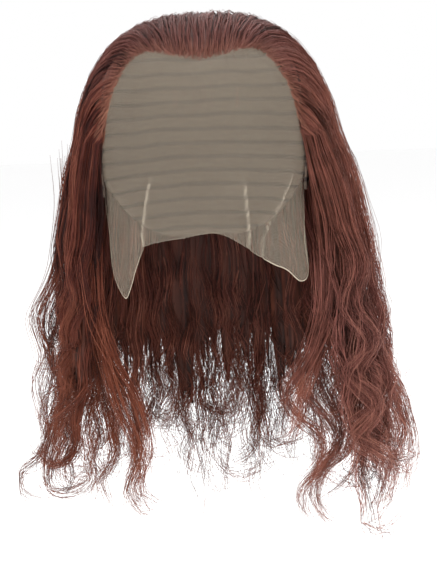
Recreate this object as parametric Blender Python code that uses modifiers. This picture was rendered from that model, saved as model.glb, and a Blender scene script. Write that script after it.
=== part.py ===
"""Lace front wig: a net cap, a sheer lace front with its uncut edge, and long hair in six sections.

Metres, +Z up, the face side towards -Y. The origin is the inside of the cap at the crown, where a head
carries the wig. Places on the head are directions from the head's middle: an azimuth in degrees from the
face towards +X, and a polar angle in degrees from the crown down.
"""

import math

import bmesh
import bpy
import numpy as np
from mathutils import Vector

MM = 0.001

# The head inside the cap, 56 cm round
HEAD_HALF_WIDTH = 78 * MM
HEAD_HALF_LENGTH = 98 * MM
CROWN_HEIGHT = 88 * MM
HEAD_MIDDLE = Vector((0, 0, -CROWN_HEIGHT))
CROWN_POWER = 2.4
PLAN_POWER = 2.15
SIDE_TUCK = 0.24
NAPE_TUCK = 0.15
FACE_TUCK = 0.05

# Cloth layers, as heights above the head
CAP_WALL = 1.2 * MM
LACE_BASE = 0.3 * MM
LACE_WALL = 1.0 * MM
HAIR_BASE = 2.3 * MM
HANGING_BASE = 3.4 * MM
SECTION_GAP = 0.5 * MM

# The direction that the combed hair and the cap's rows spread from
CROWN_DIRECTION = (180.0, 14.0)

# Edges on the head from the face (azimuth 0) round to the nape (azimuth 180): azimuth, polar
HAIRLINE = (
    (0, 45), (10, 42), (28, 40), (44, 39.5), (52, 42.5), (56, 50), (57.5, 62), (58, 74), (58, 82),
)
CAP_EDGE = (
    (0, 29), (24, 29), (44, 32), (58, 42), (65, 57), (67, 76), (67, 95), (70, 105), (77, 108.5),
    (85, 104), (94, 100), (106, 106), (122, 118), (145, 127), (180, 129),
)
PARTING = (
    (0, 24), (24, 24), (44, 27), (60, 38), (69, 52), (73.5, 66), (76, 75.5), (79.5, 81.2), (90, 82), (104, 82),
    (140, 82), (180, 82),
)
PARTING_FRONT_END = (77, 81.8)
# The lace from its left end to its right: azimuth and polar angle of its seam to the cap, then azimuth and
# height (mm) of its uncut edge, and how far that edge stands off the head (mm)
LACE = (
    (-68.6, 106.4, -69, -121, 1), (-65.6, 96, -66, -142, 5), (-65.4, 77, -62, -168, 12), (-63, 58, -56.5, -184, 12),
    (-56, 43.6, -51, -177, 9), (-43, 33.4, -44, -161, 5), (-34, 30.6, -37, -147, 1), (-22, 30.2, -26, -143, 0),
    (-10, 30.2, -13, -141, 0), (0, 30.2, -2, -139, 0), (10, 30.2, 7, -139, 0), (22, 30.2, 19, -146, 0),
    (34, 30.6, 29, -154, 1), (43, 33.4, 40, -162, 5), (56, 43.6, 47, -167, 11), (63, 58, 54, -176, 18),
    (65.4, 77, 60, -172, 19), (65.6, 96, 64, -150, 9), (68.6, 106.4, 68, -121, 1),
)
# Pleats pressed into the lace: where each meets the uncut edge (azimuth) and the level where it begins (mm)
LACE_PLEATS = ((-31.5, -96), (21, -100), (33.5, -107))
PLEAT_RISE = 2.4 * MM
PLEAT_HALF_WIDTH = 1.4
LACE_FREE_FROM = -112 * MM

# Thickness of the hair at the hairline and over the crown, and what the sides and the back add to it (mm)
HAIRLINE_HAIR = 1.6 * MM
CROWN_HAIR = 9.9 * MM
# Polar angle, then growth on the left, on the right and at the back
FULLNESS = (
    (0, 0, 0, 0), (25, 0.2, 2.4, 0), (45, 0.4, 4.2, 0.5), (60, 0.8, 5.8, 1.2), (75, 2.4, 8.6, 2.2), (90, 5, 12.4, 3),
)
COMB_RIDGE = 0.7 * MM

# Outside of the hanging hair, level by level (mm): height, left, right, back, face, side and back thickness
HANGING_HAIR = (
    (-77, 96.5, 103.5, 114, 112, 18, 15),
    (-115, 105.5, 115, 117, 111, 27, 21),
    (-145, 112, 121, 118, 109, 28, 25),
    (-195, 121, 131.5, 118, 106, 30, 24),
    (-245, 127, 139, 117, 106, 30, 23),
    (-290, 134, 145, 115, 108, 28, 22),
    (-330, 136.5, 149, 113, 110, 25, 21),
    (-395, 130, 142, 110, 108, 22, 20),
)
HANGING_TOP = -76.2 * MM
LOCKS_A_SECTION = 6
LOCK_BULGE = 4.5 * MM
LOCK_CURL = 0.10
# Spread of a lock's width from where it comes free (0) to its tip (1), before it tapers
LOCK_SPREAD = ((0, 1), (0.12, 0.88), (0.3, 0.94), (0.5, 1.22), (1, 1.22))
# Share of the full thickness near the face edge of the side hair, by azimuth
FACE_EDGE = ((58, 0.24), (64, 0.6), (71, 0.88), (78, 1))
# Where each hanging section begins and ends round the head, from the face's left side by the back
SECTIONS = {
    "left_side_hair": (-58, -112),
    "left_back_hair": (-112, -180),
    "right_back_hair": (180, 112),
    "right_side_hair": (112, 58),
}
# The six locks of each section in order: the level where the lock comes free, the level of its tip, how far
# its wave swings to the right seen from outside (mm), and the turns of that wave
LOCKS = {
    "left_side_hair": (
        (-222, -353, 11, 0.95), (-232, -345, 13, 1.05), (-216, -340, 10, 1.00),
        (-228, -338, 12, 1.05), (-218, -343, 12, 0.95), (-232, -358, 10, 1.00),
    ),
    "left_back_hair": (
        (-232, -366, 11, 1.00), (-242, -370, 12, 0.95), (-228, -382, 10, 1.05),
        (-244, -392, 12, 0.95), (-230, -390, 10, 1.00), (-236, -366, 11, 1.05),
    ),
    "right_back_hair": (
        (-236, -362, -10, 1.05), (-244, -368, -12, 0.95), (-228, -380, -10, 1.00),
        (-244, -392, -12, 0.95), (-232, -392, -11, 1.05), (-238, -384, -12, 1.00),
    ),
    "right_side_hair": (
        (-238, -366, -12, 1.00), (-228, -352, -12, 0.95), (-236, -346, -10, 1.05),
        (-222, -348, -12, 1.00), (-234, -352, -11, 0.95), (-226, -364, -12, 1.05),
    ),
}

# Colour (linear red, green, blue) and roughness of each piece
FINISHES = {
    "cap": (0.09, 0.055, 0.04, 0.85),
    "lace_front": (0.72, 0.64, 0.5, 0.7),
    "crown_hair": (0.17, 0.065, 0.045, 0.42),
    "front_hair": (0.2, 0.08, 0.05, 0.45),
    "left_side_hair": (0.2, 0.075, 0.045, 0.45),
    "left_back_hair": (0.13, 0.045, 0.03, 0.5),
    "right_back_hair": (0.13, 0.045, 0.03, 0.5),
    "right_side_hair": (0.22, 0.08, 0.045, 0.45),
}

CAP_COLUMNS, CAP_ROWS = 48, 8
CROWN_COLUMNS, CROWN_ROWS = 60, 7
FRONT_COLUMNS, FRONT_ROWS = 36, 4
LACE_COLUMNS, LACE_ROWS = 33, 10
HANGING_ROWS, FREE_ROWS = 5, 10


def clear_scene():
    for old in list(bpy.data.objects):
        bpy.data.objects.remove(old)


def material(name):
    """Principled material with the part's colour and roughness."""
    red, green, blue, roughness = FINISHES[name]
    made = bpy.data.materials.new(name)
    made.use_nodes = True
    shader = made.node_tree.nodes["Principled BSDF"]
    shader.inputs["Base Color"].default_value = (red, green, blue, 1)
    shader.inputs["Roughness"].default_value = roughness
    made.diffuse_color = (red, green, blue, 1)
    return made


def direction(azimuth, polar):
    """Unit directions from the middle of the head."""
    a = np.radians(azimuth)
    p = np.radians(polar)
    return np.stack([np.sin(p) * np.sin(a), -np.sin(p) * np.cos(a), np.cos(p) + 0 * a], axis=-1)


def on_head(directions, height):
    """Points in those directions at a height above the head, which narrows below its widest level."""
    flat = np.abs(directions[..., 0]) ** PLAN_POWER + np.abs(directions[..., 1]) ** PLAN_POWER
    up = np.maximum(directions[..., 2], 0)
    size = (flat ** (CROWN_POWER / PLAN_POWER) + up**CROWN_POWER) ** (1 / CROWN_POWER)
    unit = directions / size[..., None]
    below = np.maximum(-unit[..., 2], 0)
    tuck = np.where(unit[..., 1] > 0, NAPE_TUCK, FACE_TUCK)
    x = unit[..., 0] * (HEAD_HALF_WIDTH * (1 - SIDE_TUCK * below**1.3) + height)
    y = unit[..., 1] * (HEAD_HALF_LENGTH * (1 - tuck * below**2) + height)
    z = unit[..., 2] * (CROWN_HEIGHT + height * (unit[..., 2] > 0)) - CROWN_HEIGHT
    return np.stack([x, y, z], axis=-1)


def polar_at(level):
    """Polar angle of a level below the widest one."""
    return 90 + math.degrees(math.atan((-CROWN_HEIGHT - level) / CROWN_HEIGHT))


def smooth_line(points, count, closed=False):
    """Evenly spaced points on a Catmull-Rom curve through the given ones."""
    points = np.array(points, float)
    if closed:
        padded = np.vstack([points[-1:], points, points[:2]])
    else:
        ends = 2 * points[[0, -1]] - points[[1, -2]]
        padded = np.vstack([ends[:1], points, ends[1:]])
    t = np.linspace(0, 1, 12, endpoint=False)[:, None]
    dense = []
    for a, b, c, d in zip(padded, padded[1:], padded[2:], padded[3:], strict=False):
        dense.append(b + (c - a) * t / 2 + (a - 2.5 * b + 2 * c - d / 2) * t**2 + (1.5 * (b - c) + (d - a) / 2) * t**3)
    dense.append(padded[-2][None])
    dense = np.vstack(dense)
    along = np.concatenate([[0], np.cumsum(np.linalg.norm(np.diff(dense, axis=0), axis=1))])
    at = np.linspace(0, along[-1], count + closed)[:count]
    return np.stack([np.interp(at, along, dense[:, k]) for k in range(dense.shape[1])], axis=-1)


def edge_directions(table, count):
    """Directions evenly spaced round a closed edge, from its half table."""
    half = direction(*np.array(table, float).T)
    mirrored = half[1:-1][::-1] * (-1, 1, 1)
    return smooth_line(np.vstack([half, mirrored]), count, closed=True)


def fan(edge, rows):
    """Rows of directions that spread from the crown to an edge."""
    start = direction(*np.array(CROWN_DIRECTION))
    share = np.linspace(0, 1, rows + 1)[:, None, None]
    angle = np.arccos(np.clip(edge @ start / np.linalg.norm(edge, axis=-1), -1, 1))[None, :, None]
    unit = edge / np.linalg.norm(edge, axis=-1)[:, None]
    return (np.sin((1 - share) * angle) * start + np.sin(share * angle) * unit) / np.sin(angle)


def add_grid(work, points):
    """Adds a primitive grid and moves its vertices to rows of points; gives them back row by row."""
    rows, columns = points.shape[:2]
    made = bmesh.ops.create_grid(work, x_segments=columns - 1, y_segments=rows - 1, size=1)
    ordered = sorted(made["verts"], key=lambda vertex: (round(vertex.co.y, 4), vertex.co.x))
    for vertex, place in zip(ordered, points.reshape(-1, 3), strict=True):
        vertex.co = place
    return [ordered[r * columns : (r + 1) * columns] for r in range(rows)]


def finish_object(name, work, smooth_angle=50):
    """Turns a bmesh into a smooth-shaded object of the wig with its own material."""
    bmesh.ops.remove_doubles(work, verts=work.verts, dist=0.01 * MM)
    bmesh.ops.recalc_face_normals(work, faces=work.faces)
    mesh = bpy.data.meshes.new(name)
    work.to_mesh(mesh)
    work.free()
    mesh.materials.append(material(name))
    mesh.shade_smooth()
    mesh.set_sharp_from_angle(angle=math.radians(smooth_angle))
    made = bpy.data.objects.new(name, mesh)
    WIG.objects.link(made)
    return made


def cloth(name, points, wall):
    """A cloth surface with a wall of the given thickness on the side away from the head."""
    work = bmesh.new()
    add_grid(work, points)
    shell = finish_object(name, work)
    solidify = shell.modifiers.new("wall", "SOLIDIFY")
    outwards = shell.data.polygons[len(shell.data.polygons) // 2]
    away = outwards.normal.dot(outwards.center - HEAD_MIDDLE)
    solidify.thickness = wall
    solidify.offset = 1 if away > 0 else -1
    return shell


def padded(name, outer, inner):
    """A closed body between an outer and an inner grid of points, bridged along their borders."""
    work = bmesh.new()
    add_grid(work, outer)
    add_grid(work, inner)
    bmesh.ops.remove_doubles(work, verts=work.verts, dist=0.01 * MM)
    border = [edge for edge in work.edges if edge.is_boundary]
    bmesh.ops.bridge_loops(work, edges=border)
    return finish_object(name, work)


def closed(rows):
    """Repeats the first column of a ring-shaped grid at its end, so that the seam can be merged."""
    return np.concatenate([rows, rows[:, :1]], axis=1)


def net_cap():
    """The foundation that the hair is sewn to, open below and pulled back behind the lace."""
    rows = fan(edge_directions(CAP_EDGE, CAP_COLUMNS), CAP_ROWS)
    return cloth("cap", closed(on_head(rows, 0.0)), CAP_WALL)


def lace_stations():
    """Places along the lace from its left end: plain ones, with three close ones at each pleat."""
    table = np.array(LACE, float)
    rows = np.arange(len(table))
    middles = np.interp([pleat[0] for pleat in LACE_PLEATS], table[:, 2], rows)
    width = np.interp(middles + 0.5, rows, table[:, 2]) - np.interp(middles - 0.5, rows, table[:, 2])
    half = PLEAT_HALF_WIDTH / width
    plain = [(at, None) for at in np.linspace(0, rows[-1], LACE_COLUMNS) if min(abs(at - middles) / half) > 2]
    for number, middle in enumerate(middles):
        plain += [(middle + side * half[number], number if side == 0 else None) for side in (-1, 0, 1)]
    return sorted(plain, key=lambda station: station[0])


def lace_surface():
    """Grid of the lace from its seam under the hair down the forehead to its uncut edge."""
    table = np.array(LACE, float)
    grid = []
    for share in np.linspace(0, 1, LACE_ROWS + 1):
        row = []
        for at, pleat in lace_stations():
            seam_azimuth, seam_polar, azimuth, level, stand = (
                np.interp(at, np.arange(len(table)), table[:, k]) for k in range(5)
            )
            hem_polar = polar_at(level * MM)
            polar = seam_polar + (hem_polar - seam_polar) * share
            bend = np.interp(abs(seam_azimuth), (34, 60), (2.5, 1.0))
            towards = direction(seam_azimuth + (azimuth - seam_azimuth) * share**bend, polar)
            here = on_head(towards, 0)[2]
            free = np.clip((LACE_FREE_FROM - here) / (LACE_FREE_FROM - level * MM), 0, 1)
            lift = stand * MM * free**1.2
            if pleat is not None:
                start = LACE_PLEATS[pleat][1] * MM
                lift += PLEAT_RISE * np.clip((start - here) / (12 * MM), 0, 1)
            row.append(on_head(towards, LACE_BASE + lift))
        grid.append(row)
    return np.array(grid)


def lace_front():
    """The sheer panel that carries the front hair, with the uncut edge that a wearer trims off."""
    return cloth("lace_front", lace_surface(), LACE_WALL)


def hair_height(directions):
    """Height of the combed hair above the head, fuller at the sides and fullest on the right."""
    unit = directions / np.linalg.norm(directions, axis=-1)[..., None]
    polar = np.degrees(np.arccos(np.clip(unit[..., 2], -1, 1)))
    flat = np.maximum(np.linalg.norm(unit[..., :2], axis=-1), 1e-6)
    table = np.array(FULLNESS, float)
    left, right, back = (np.interp(polar, table[:, 0], table[:, k]) * MM for k in (1, 2, 3))
    sideways = (unit[..., 0] / flat) ** 2 * np.where(unit[..., 0] < 0, left, right)
    backwards = (np.maximum(unit[..., 1], 0) / flat) ** 2 * back
    return HAIR_BASE + CROWN_HAIR + sideways + backwards


def crown_hair():
    """Hair sewn over the cap, combed from the crown to the parting above the hanging sections."""
    rows = fan(edge_directions(PARTING, CROWN_COLUMNS), CROWN_ROWS)
    ridge = COMB_RIDGE * np.where(np.arange(CROWN_COLUMNS) % 2, 1, -1)[None, :]
    ridge = ridge * np.linspace(0, 1, CROWN_ROWS + 1)[:, None]
    outer = on_head(rows, hair_height(rows) + ridge)
    return padded("crown_hair", closed(outer), closed(on_head(rows, HAIR_BASE)))


def front_hair():
    """Hair knotted into the lace, thin at the hairline and swept back to meet the crown hair."""
    front = np.array(HAIRLINE, float)
    back = np.array([p for p in PARTING if p[0] < PARTING_FRONT_END[0]] + [PARTING_FRONT_END], float)
    lines = []
    for table in (front, back):
        half = direction(*table.T)
        lines.append(smooth_line(np.vstack([half[::-1] * (-1, 1, 1), half[1:]]), FRONT_COLUMNS + 1))
    share = np.linspace(0, 1, FRONT_ROWS + 1)[:, None, None]
    clearance = SECTION_GAP / HEAD_HALF_LENGTH
    last = lines[1] + clearance * (lines[0] - lines[1]) / np.linalg.norm(lines[0] - lines[1], axis=-1)[:, None]
    rows = (1 - share) * lines[0] + share * last
    rise = np.sin(share[..., 0] * math.pi / 2) ** 0.9
    full = hair_height(rows) - HAIR_BASE - HAIRLINE_HAIR
    ridge = COMB_RIDGE * share[..., 0] * np.where(np.arange(FRONT_COLUMNS + 1) % 2, 1, -1)[None, :]
    outer = on_head(rows, HAIR_BASE + HAIRLINE_HAIR + full * rise + ridge)
    return padded("front_hair", outer, on_head(rows, HAIR_BASE))


def hanging_sizes(level):
    """Half widths and thicknesses of the hanging hair at a level, as one row of the table."""
    table = np.array(HANGING_HAIR, float)[::-1] * MM
    return [np.interp(level, table[:, 0], table[:, k]) for k in range(1, table.shape[1])]


def radius_at(azimuth, half_width, half_length):
    """Distance from the axis to the outline of a level, in a true direction from the axis."""
    a = np.radians(azimuth)
    across = np.abs(np.sin(a) / half_width) ** PLAN_POWER
    along = np.abs(np.cos(a) / half_length) ** PLAN_POWER
    return (across + along) ** (-1 / PLAN_POWER)


def hanging_point(azimuth, level, share):
    """A point in the hanging hair: share 0 is its inner surface and 1 its outer one."""
    left, right, back, face, side_wall, back_wall = hanging_sizes(level)
    turned = (azimuth + 180) % 360 - 180
    half_width = np.where(turned < 0, left, right)
    half_length = np.where(np.abs(turned) > 90, back, face)
    outer = radius_at(turned, half_width, half_length)
    inner = radius_at(turned, half_width - side_wall, half_length - back_wall)
    polar = 90 + np.degrees(np.arctan((-CROWN_HEIGHT - level) / CROWN_HEIGHT))
    here = direction(turned, polar)
    head = np.linalg.norm(on_head(here, HANGING_BASE)[..., :2], axis=-1)
    inner = np.maximum(inner, head * np.clip((level + 175 * MM) / (20 * MM), 0, 1))
    under_crown = np.linalg.norm(on_head(here, hair_height(here))[..., :2], axis=-1)
    outer = outer + (under_crown - outer) * np.clip((level + 96 * MM) / (18 * MM), 0, 1)
    edge = np.interp(np.abs(turned), *np.array(FACE_EDGE).T)
    radius = inner + (outer - inner) * edge * share
    a = np.radians(azimuth)
    return np.stack([radius * np.sin(a), -radius * np.cos(a), level], axis=-1)


def gap_angle(side):
    """Half the gap between two sections, as an azimuth."""
    return side * math.degrees(SECTION_GAP / 2 / HEAD_HALF_LENGTH)


def lock_profile(share):
    """Bulge across a lock: none at its edges and full over its middle."""
    return np.array([0.0, 1.0, 1.0, 0.0])[share]


def hanging_hair(name):
    """One hanging section: a curved sheet of hair whose six locks come free and end in waved tips."""
    start, end = SECTIONS[name]
    turn = 1 if end > start else -1
    edges = np.linspace(start - gap_angle(-turn), end + gap_angle(-turn), LOCKS_A_SECTION + 1)
    table = np.array(LOCKS[name], float)
    free_level = np.interp(np.arange(LOCKS_A_SECTION + 1), np.arange(LOCKS_A_SECTION) + 0.5, table[:, 0]) * MM
    across = 3 * LOCKS_A_SECTION + 1
    azimuth = np.interp(np.arange(across) / 3, np.arange(LOCKS_A_SECTION + 1), edges)
    slit = np.interp(np.arange(across) / 3, np.arange(LOCKS_A_SECTION + 1), free_level)
    down = np.linspace(0, 1, HANGING_ROWS + 1)[:, None]
    level = HANGING_TOP + (slit[None, :] - HANGING_TOP) * down
    valley = 1 - lock_profile(np.append(np.tile([0, 1, 2], LOCKS_A_SECTION), 3))[None, :]
    wall = LOCK_BULGE * np.clip(down * 2, 0, 1) * valley
    outer = hanging_point(azimuth + 0 * level, level, np.ones_like(level))
    inner = hanging_point(azimuth + 0 * level, level, np.zeros_like(level))
    thickness = np.linalg.norm(outer - inner, axis=-1)
    outer = outer + (inner - outer) * (wall / thickness)[..., None]
    work = bmesh.new()
    outside, inside = add_grid(work, outer), add_grid(work, inner)
    bottom = {vertex for vertex in outside[-1] + inside[-1]}
    border = [edge for edge in work.edges if edge.is_boundary and not bottom.issuperset(edge.verts)]
    bmesh.ops.bridge_loops(work, edges=border)
    for number in range(LOCKS_A_SECTION):
        columns = slice(3 * number, 3 * number + 4)
        ring = outside[-1][columns] + inside[-1][columns][::-1]
        first = np.array([vertex.co for vertex in ring])
        for places in free_lock(first, azimuth[columns], table[number], number % 2 == 0):
            ring = loft(work, ring, places)
        work.faces.new(ring)
    return finish_object(name, work)


def loft(work, ring, places):
    """Joins a ring of vertices to a new ring of another shape."""
    new = [work.verts.new(place) for place in places]
    for here, there in enumerate(np.roll(range(len(ring)), -1)):
        work.faces.new([ring[here], ring[there], new[there], new[here]])
    return new


def free_lock(first, azimuths, row, outside):
    """Rings of eight points down a lock from where it comes free to its tip."""
    tip, swing, turns = row[1] * MM, row[2] * MM, row[3]
    start_level = first[:, 2].mean()
    middle = azimuths.mean()
    half = abs(azimuths[-1] - azimuths[0]) / 2
    sense = np.sign(azimuths[-1] - azimuths[0])
    across = np.array([-1, -0.36, 0.36, 1, 1, 0.36, -0.36, -1]) * sense
    lens = np.array([0.45, 1, 1, 0.45, -0.45, -1, -1, -0.45])
    rings = []
    for down in np.linspace(0, 1, FREE_ROWS + 1)[1:]:
        level = start_level + (tip - start_level) * down
        apart = min(down / 0.3, 1)
        width = half * np.interp(down, *np.array(LOCK_SPREAD).T) * (1 - down**2.8 * 0.87)
        wave = math.sin(2 * math.pi * turns * (down - 0.1)) * apart**2 * (0.6 + 0.6 * down)
        azimuth = middle + math.degrees(swing * wave / HEAD_HALF_LENGTH) + across * width
        track = 0.5 + (0.25 if outside else -0.25) * apart
        curl = LOCK_CURL * apart * math.sin(2 * math.pi * (down * 1.1 - 0.35)) * down
        depth = (0.48 - 0.28 * apart) * (1 - down**3 * 0.7)
        ring = hanging_point(azimuth, np.full(8, level), track + curl + depth * lens)
        ring[:, 2] += (first[:, 2] - start_level) * (1 - down) ** 2
        rings.append(ring)
    return rings


clear_scene()
WIG = bpy.data.collections.new("lace_front_wig")
bpy.context.scene.collection.children.link(WIG)
net_cap()
lace_front()
crown_hair()
front_hair()
for section in SECTIONS:
    hanging_hair(section)
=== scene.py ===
"""Looks of a lace front wig: combed and waved hair, a sheer lace front with its uncut edge, and a net cap.

Metres, +Z up, the face side towards -Y. The origin is the inside of the cap at the crown. Places on the head
are directions from its middle: an azimuth in degrees from the face towards +X, and a polar angle in degrees
from the crown down.
"""

import logging
import math
from dataclasses import dataclass, field
from enum import Enum

import bmesh
import bpy
import numpy as np
from mathutils import Matrix, Vector


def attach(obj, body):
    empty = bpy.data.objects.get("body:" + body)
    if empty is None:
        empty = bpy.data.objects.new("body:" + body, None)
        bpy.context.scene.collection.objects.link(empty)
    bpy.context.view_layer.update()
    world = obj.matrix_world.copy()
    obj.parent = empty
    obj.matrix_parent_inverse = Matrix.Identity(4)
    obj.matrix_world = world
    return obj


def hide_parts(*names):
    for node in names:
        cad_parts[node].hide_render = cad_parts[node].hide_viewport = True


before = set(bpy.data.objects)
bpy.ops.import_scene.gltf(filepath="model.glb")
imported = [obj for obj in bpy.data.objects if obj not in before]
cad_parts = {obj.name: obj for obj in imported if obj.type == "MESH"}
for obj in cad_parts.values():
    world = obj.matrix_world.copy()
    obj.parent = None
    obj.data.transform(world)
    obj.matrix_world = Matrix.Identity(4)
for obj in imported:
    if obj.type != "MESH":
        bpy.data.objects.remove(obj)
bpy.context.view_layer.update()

LOG = logging.getLogger("wig")
MM = 0.001
Array = np.ndarray

# The head inside the cap and the thickness of the layers on it, as in the solids
HEAD_HALF_WIDTH, HEAD_HALF_LENGTH, CROWN_HEIGHT = 78 * MM, 98 * MM, 88 * MM
CROWN_POWER, PLAN_POWER = 2.4, 2.15
SIDE_TUCK, NAPE_TUCK, FACE_TUCK = 0.24, 0.15, 0.05
CAP_WALL, LACE_HEIGHT = 1.2 * MM, 0.8 * MM
HAIR_BASE, CROWN_HAIR, HANGING_BASE = 2.3 * MM, 9.9 * MM, 3.4 * MM

# Growth of the hair by polar angle: on the left, on the right and at the back (mm)
FULLNESS = (
    (0, 0, 0, 0), (25, 0.2, 2.4, 0), (45, 0.4, 4.2, 0.5), (60, 0.8, 5.8, 1.2), (75, 2.4, 8.6, 2.2), (90, 5, 12.4, 3),
)
# Outside of the hanging hair by height (mm): left, right, back, face, side and back thickness
HANGING_HAIR = (
    (-77, 96.5, 103.5, 114, 112, 18, 15),
    (-115, 105.5, 115, 117, 111, 27, 21),
    (-145, 112, 121, 118, 109, 28, 25),
    (-195, 121, 131.5, 118, 106, 30, 24),
    (-245, 127, 139, 117, 106, 30, 23),
    (-290, 134, 145, 115, 108, 28, 22),
    (-330, 136.5, 149, 113, 110, 25, 21),
    (-395, 130, 142, 110, 108, 22, 20),
)
# Share of the hair's full thickness beside the face, by azimuth
FACE_EDGE = ((58, 0.24), (64, 0.6), (71, 0.88), (78, 1))
# Where rows over the head begin: azimuth and polar angle
CROWN_DIRECTION = (180.0, 14.0)
# The cap's edge on the +X side, from the face round to the nape: azimuth and polar angle
CAP_EDGE = (
    (0, 29), (24, 29), (44, 32), (58, 42), (65, 57), (67, 76), (67, 95), (70, 105), (77, 108.5),
    (85, 104), (94, 100), (106, 106), (122, 118), (145, 127), (180, 129),
)
# How the hair is combed, station by station from the middle of the hairline to its lower end: where a hair
# is rooted, the bend that it is combed round, and the azimuth where it hangs
COMBING = (
    (0, 43.7, 180, 12, 180),
    (10, 42.5, 162, 16, 164),
    (28, 40, 122, 24, 133),
    (44, 39.5, 88, 34, 100),
    (52, 42.5, 79, 41, 88),
    (56, 50, 72, 53, 78.5),
    (57.5, 62, 65.5, 68.5, 71),
    (58, 74, 60.8, 79.5, 64.5),
    (58, 82, 58.9, 83.2, 59.8),
)
# The lace from its left end to its right: seam azimuth and polar angle, then the azimuth and height (mm) of
# its uncut edge, and how far that edge stands off the head (mm)
LACE = (
    (-68.6, 106.4, -69, -121, 1), (-65.6, 96, -66, -142, 5), (-65.4, 77, -62, -168, 12), (-63, 58, -56.5, -184, 12),
    (-56, 43.6, -51, -177, 9), (-43, 33.4, -44, -161, 5), (-34, 30.6, -37, -147, 1), (-22, 30.2, -26, -143, 0),
    (-10, 30.2, -13, -141, 0), (0, 30.2, -2, -139, 0), (10, 30.2, 7, -139, 0), (22, 30.2, 19, -146, 0),
    (34, 30.6, 29, -154, 1), (43, 33.4, 40, -162, 5), (56, 43.6, 47, -167, 11), (63, 58, 54, -176, 18),
    (65.4, 77, 60, -172, 19), (65.6, 96, 64, -150, 9), (68.6, 106.4, 68, -121, 1),
)
# Pleats of the lace: azimuth where each begins, azimuth at the uncut edge, and the height where it begins (mm)
LACE_PLEATS = ((-25, -36.5, -94), (19, 24, -98), (53, 32, -98))
LACE_FREE_FROM = -112 * MM

# Lowest and highest corner that a loose hair may reach
REACH = ((-147 * MM, -110 * MM, -408 * MM), (158 * MM, 128 * MM, 30 * MM))
HAIR_COLOURS = ("Dark", "Middle", "Light", "Copper", "Sheen")

FRAME_WIDTH, FRAME_HEIGHT = 437, 567


def direction(azimuth: Array, polar: Array) -> Array:
    """Gives unit directions from the middle of the head.

    Args:
        azimuth: Degrees from the face towards +X.
        polar: Degrees from the crown down.

    Returns:
        The directions, with x, y and z along the last axis.
    """
    a, p = np.radians(azimuth), np.radians(polar)
    return np.stack([np.sin(p) * np.sin(a), -np.sin(p) * np.cos(a), np.cos(p) + 0 * a], axis=-1)


def on_head(directions: Array, height: Array) -> Array:
    """Finds points at a height above the head.

    Args:
        directions: Directions from the middle of the head.
        height: Metres above the head, one number or one for each direction.

    Returns:
        The points, with x, y and z along the last axis.
    """
    flat = np.abs(directions[..., 0]) ** PLAN_POWER + np.abs(directions[..., 1]) ** PLAN_POWER
    up = np.maximum(directions[..., 2], 0)
    size = (flat ** (CROWN_POWER / PLAN_POWER) + up**CROWN_POWER) ** (1 / CROWN_POWER)
    unit = directions / size[..., None]
    below = np.maximum(-unit[..., 2], 0)
    tuck = np.where(unit[..., 1] > 0, NAPE_TUCK, FACE_TUCK)
    x = unit[..., 0] * (HEAD_HALF_WIDTH * (1 - SIDE_TUCK * below**1.3) + height)
    y = unit[..., 1] * (HEAD_HALF_LENGTH * (1 - tuck * below**2) + height)
    z = unit[..., 2] * (CROWN_HEIGHT + height * (unit[..., 2] > 0)) - CROWN_HEIGHT
    return np.stack([x, y, z], axis=-1)


def hair_height(directions: Array) -> Array:
    """Finds the height of the combed hair's outside above the head.

    Args:
        directions: Directions from the middle of the head.

    Returns:
        Metres above the head, one for each direction.
    """
    unit = directions / np.linalg.norm(directions, axis=-1)[..., None]
    polar = np.degrees(np.arccos(np.clip(unit[..., 2], -1, 1)))
    flat = np.maximum(np.linalg.norm(unit[..., :2], axis=-1), 1e-6)
    table = np.array(FULLNESS, float)
    left, right, back = (np.interp(polar, table[:, 0], table[:, k]) * MM for k in (1, 2, 3))
    sideways = (unit[..., 0] / flat) ** 2 * np.where(unit[..., 0] < 0, left, right)
    backwards = (np.maximum(unit[..., 1], 0) / flat) ** 2 * back
    return HAIR_BASE + CROWN_HAIR + sideways + backwards


def radius_at(azimuth: Array, half_width: Array, half_length: Array) -> Array:
    """Finds the distance from the axis to a level's outline.

    Args:
        azimuth: True azimuth in degrees.
        half_width: Half the outline's width.
        half_length: Half its length.

    Returns:
        The distances, in the unit of the half sizes.
    """
    a = np.radians(azimuth)
    across = np.abs(np.sin(a) / half_width) ** PLAN_POWER
    along = np.abs(np.cos(a) / half_length) ** PLAN_POWER
    return (across + along) ** (-1 / PLAN_POWER)


def hanging_radius(azimuth: Array, level: Array, share: Array) -> Array:
    """Finds how far hanging hair lies from the axis.

    Args:
        azimuth: True azimuth in degrees.
        level: Height in metres.
        share: 0 on the inner surface of the hair and 1 on the outer one.

    Returns:
        The radius in metres.
    """
    table = np.array(HANGING_HAIR, float)[::-1] * MM
    left, right, back, face, side_wall, back_wall = (np.interp(level, table[:, 0], table[:, k]) for k in range(1, 7))
    turned = (azimuth + 180) % 360 - 180
    half_width = np.where(turned < 0, left, right)
    half_length = np.where(np.abs(turned) > 90, back, face)
    outer = radius_at(turned, half_width, half_length)
    inner = radius_at(turned, half_width - side_wall, half_length - back_wall)
    polar = 90 + np.degrees(np.arctan((-CROWN_HEIGHT - level) / CROWN_HEIGHT))
    here = direction(turned, polar)
    head = np.linalg.norm(on_head(here, HANGING_BASE)[..., :2], axis=-1)
    inner = np.maximum(inner, head * np.clip((level + 175 * MM) / (20 * MM), 0, 1))
    under_crown = np.linalg.norm(on_head(here, hair_height(here))[..., :2], axis=-1)
    outer = outer + (under_crown - outer) * np.clip((level + 96 * MM) / (18 * MM), 0, 1)
    edge = np.interp(np.abs(turned), *np.array(FACE_EDGE).T)
    return inner + (outer - inner) * edge * share


def smooth_step(value: Array) -> Array:
    """Eases a ramp from 0 to 1."""
    held = np.clip(value, 0, 1)
    return held * held * (3 - 2 * held)


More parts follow.
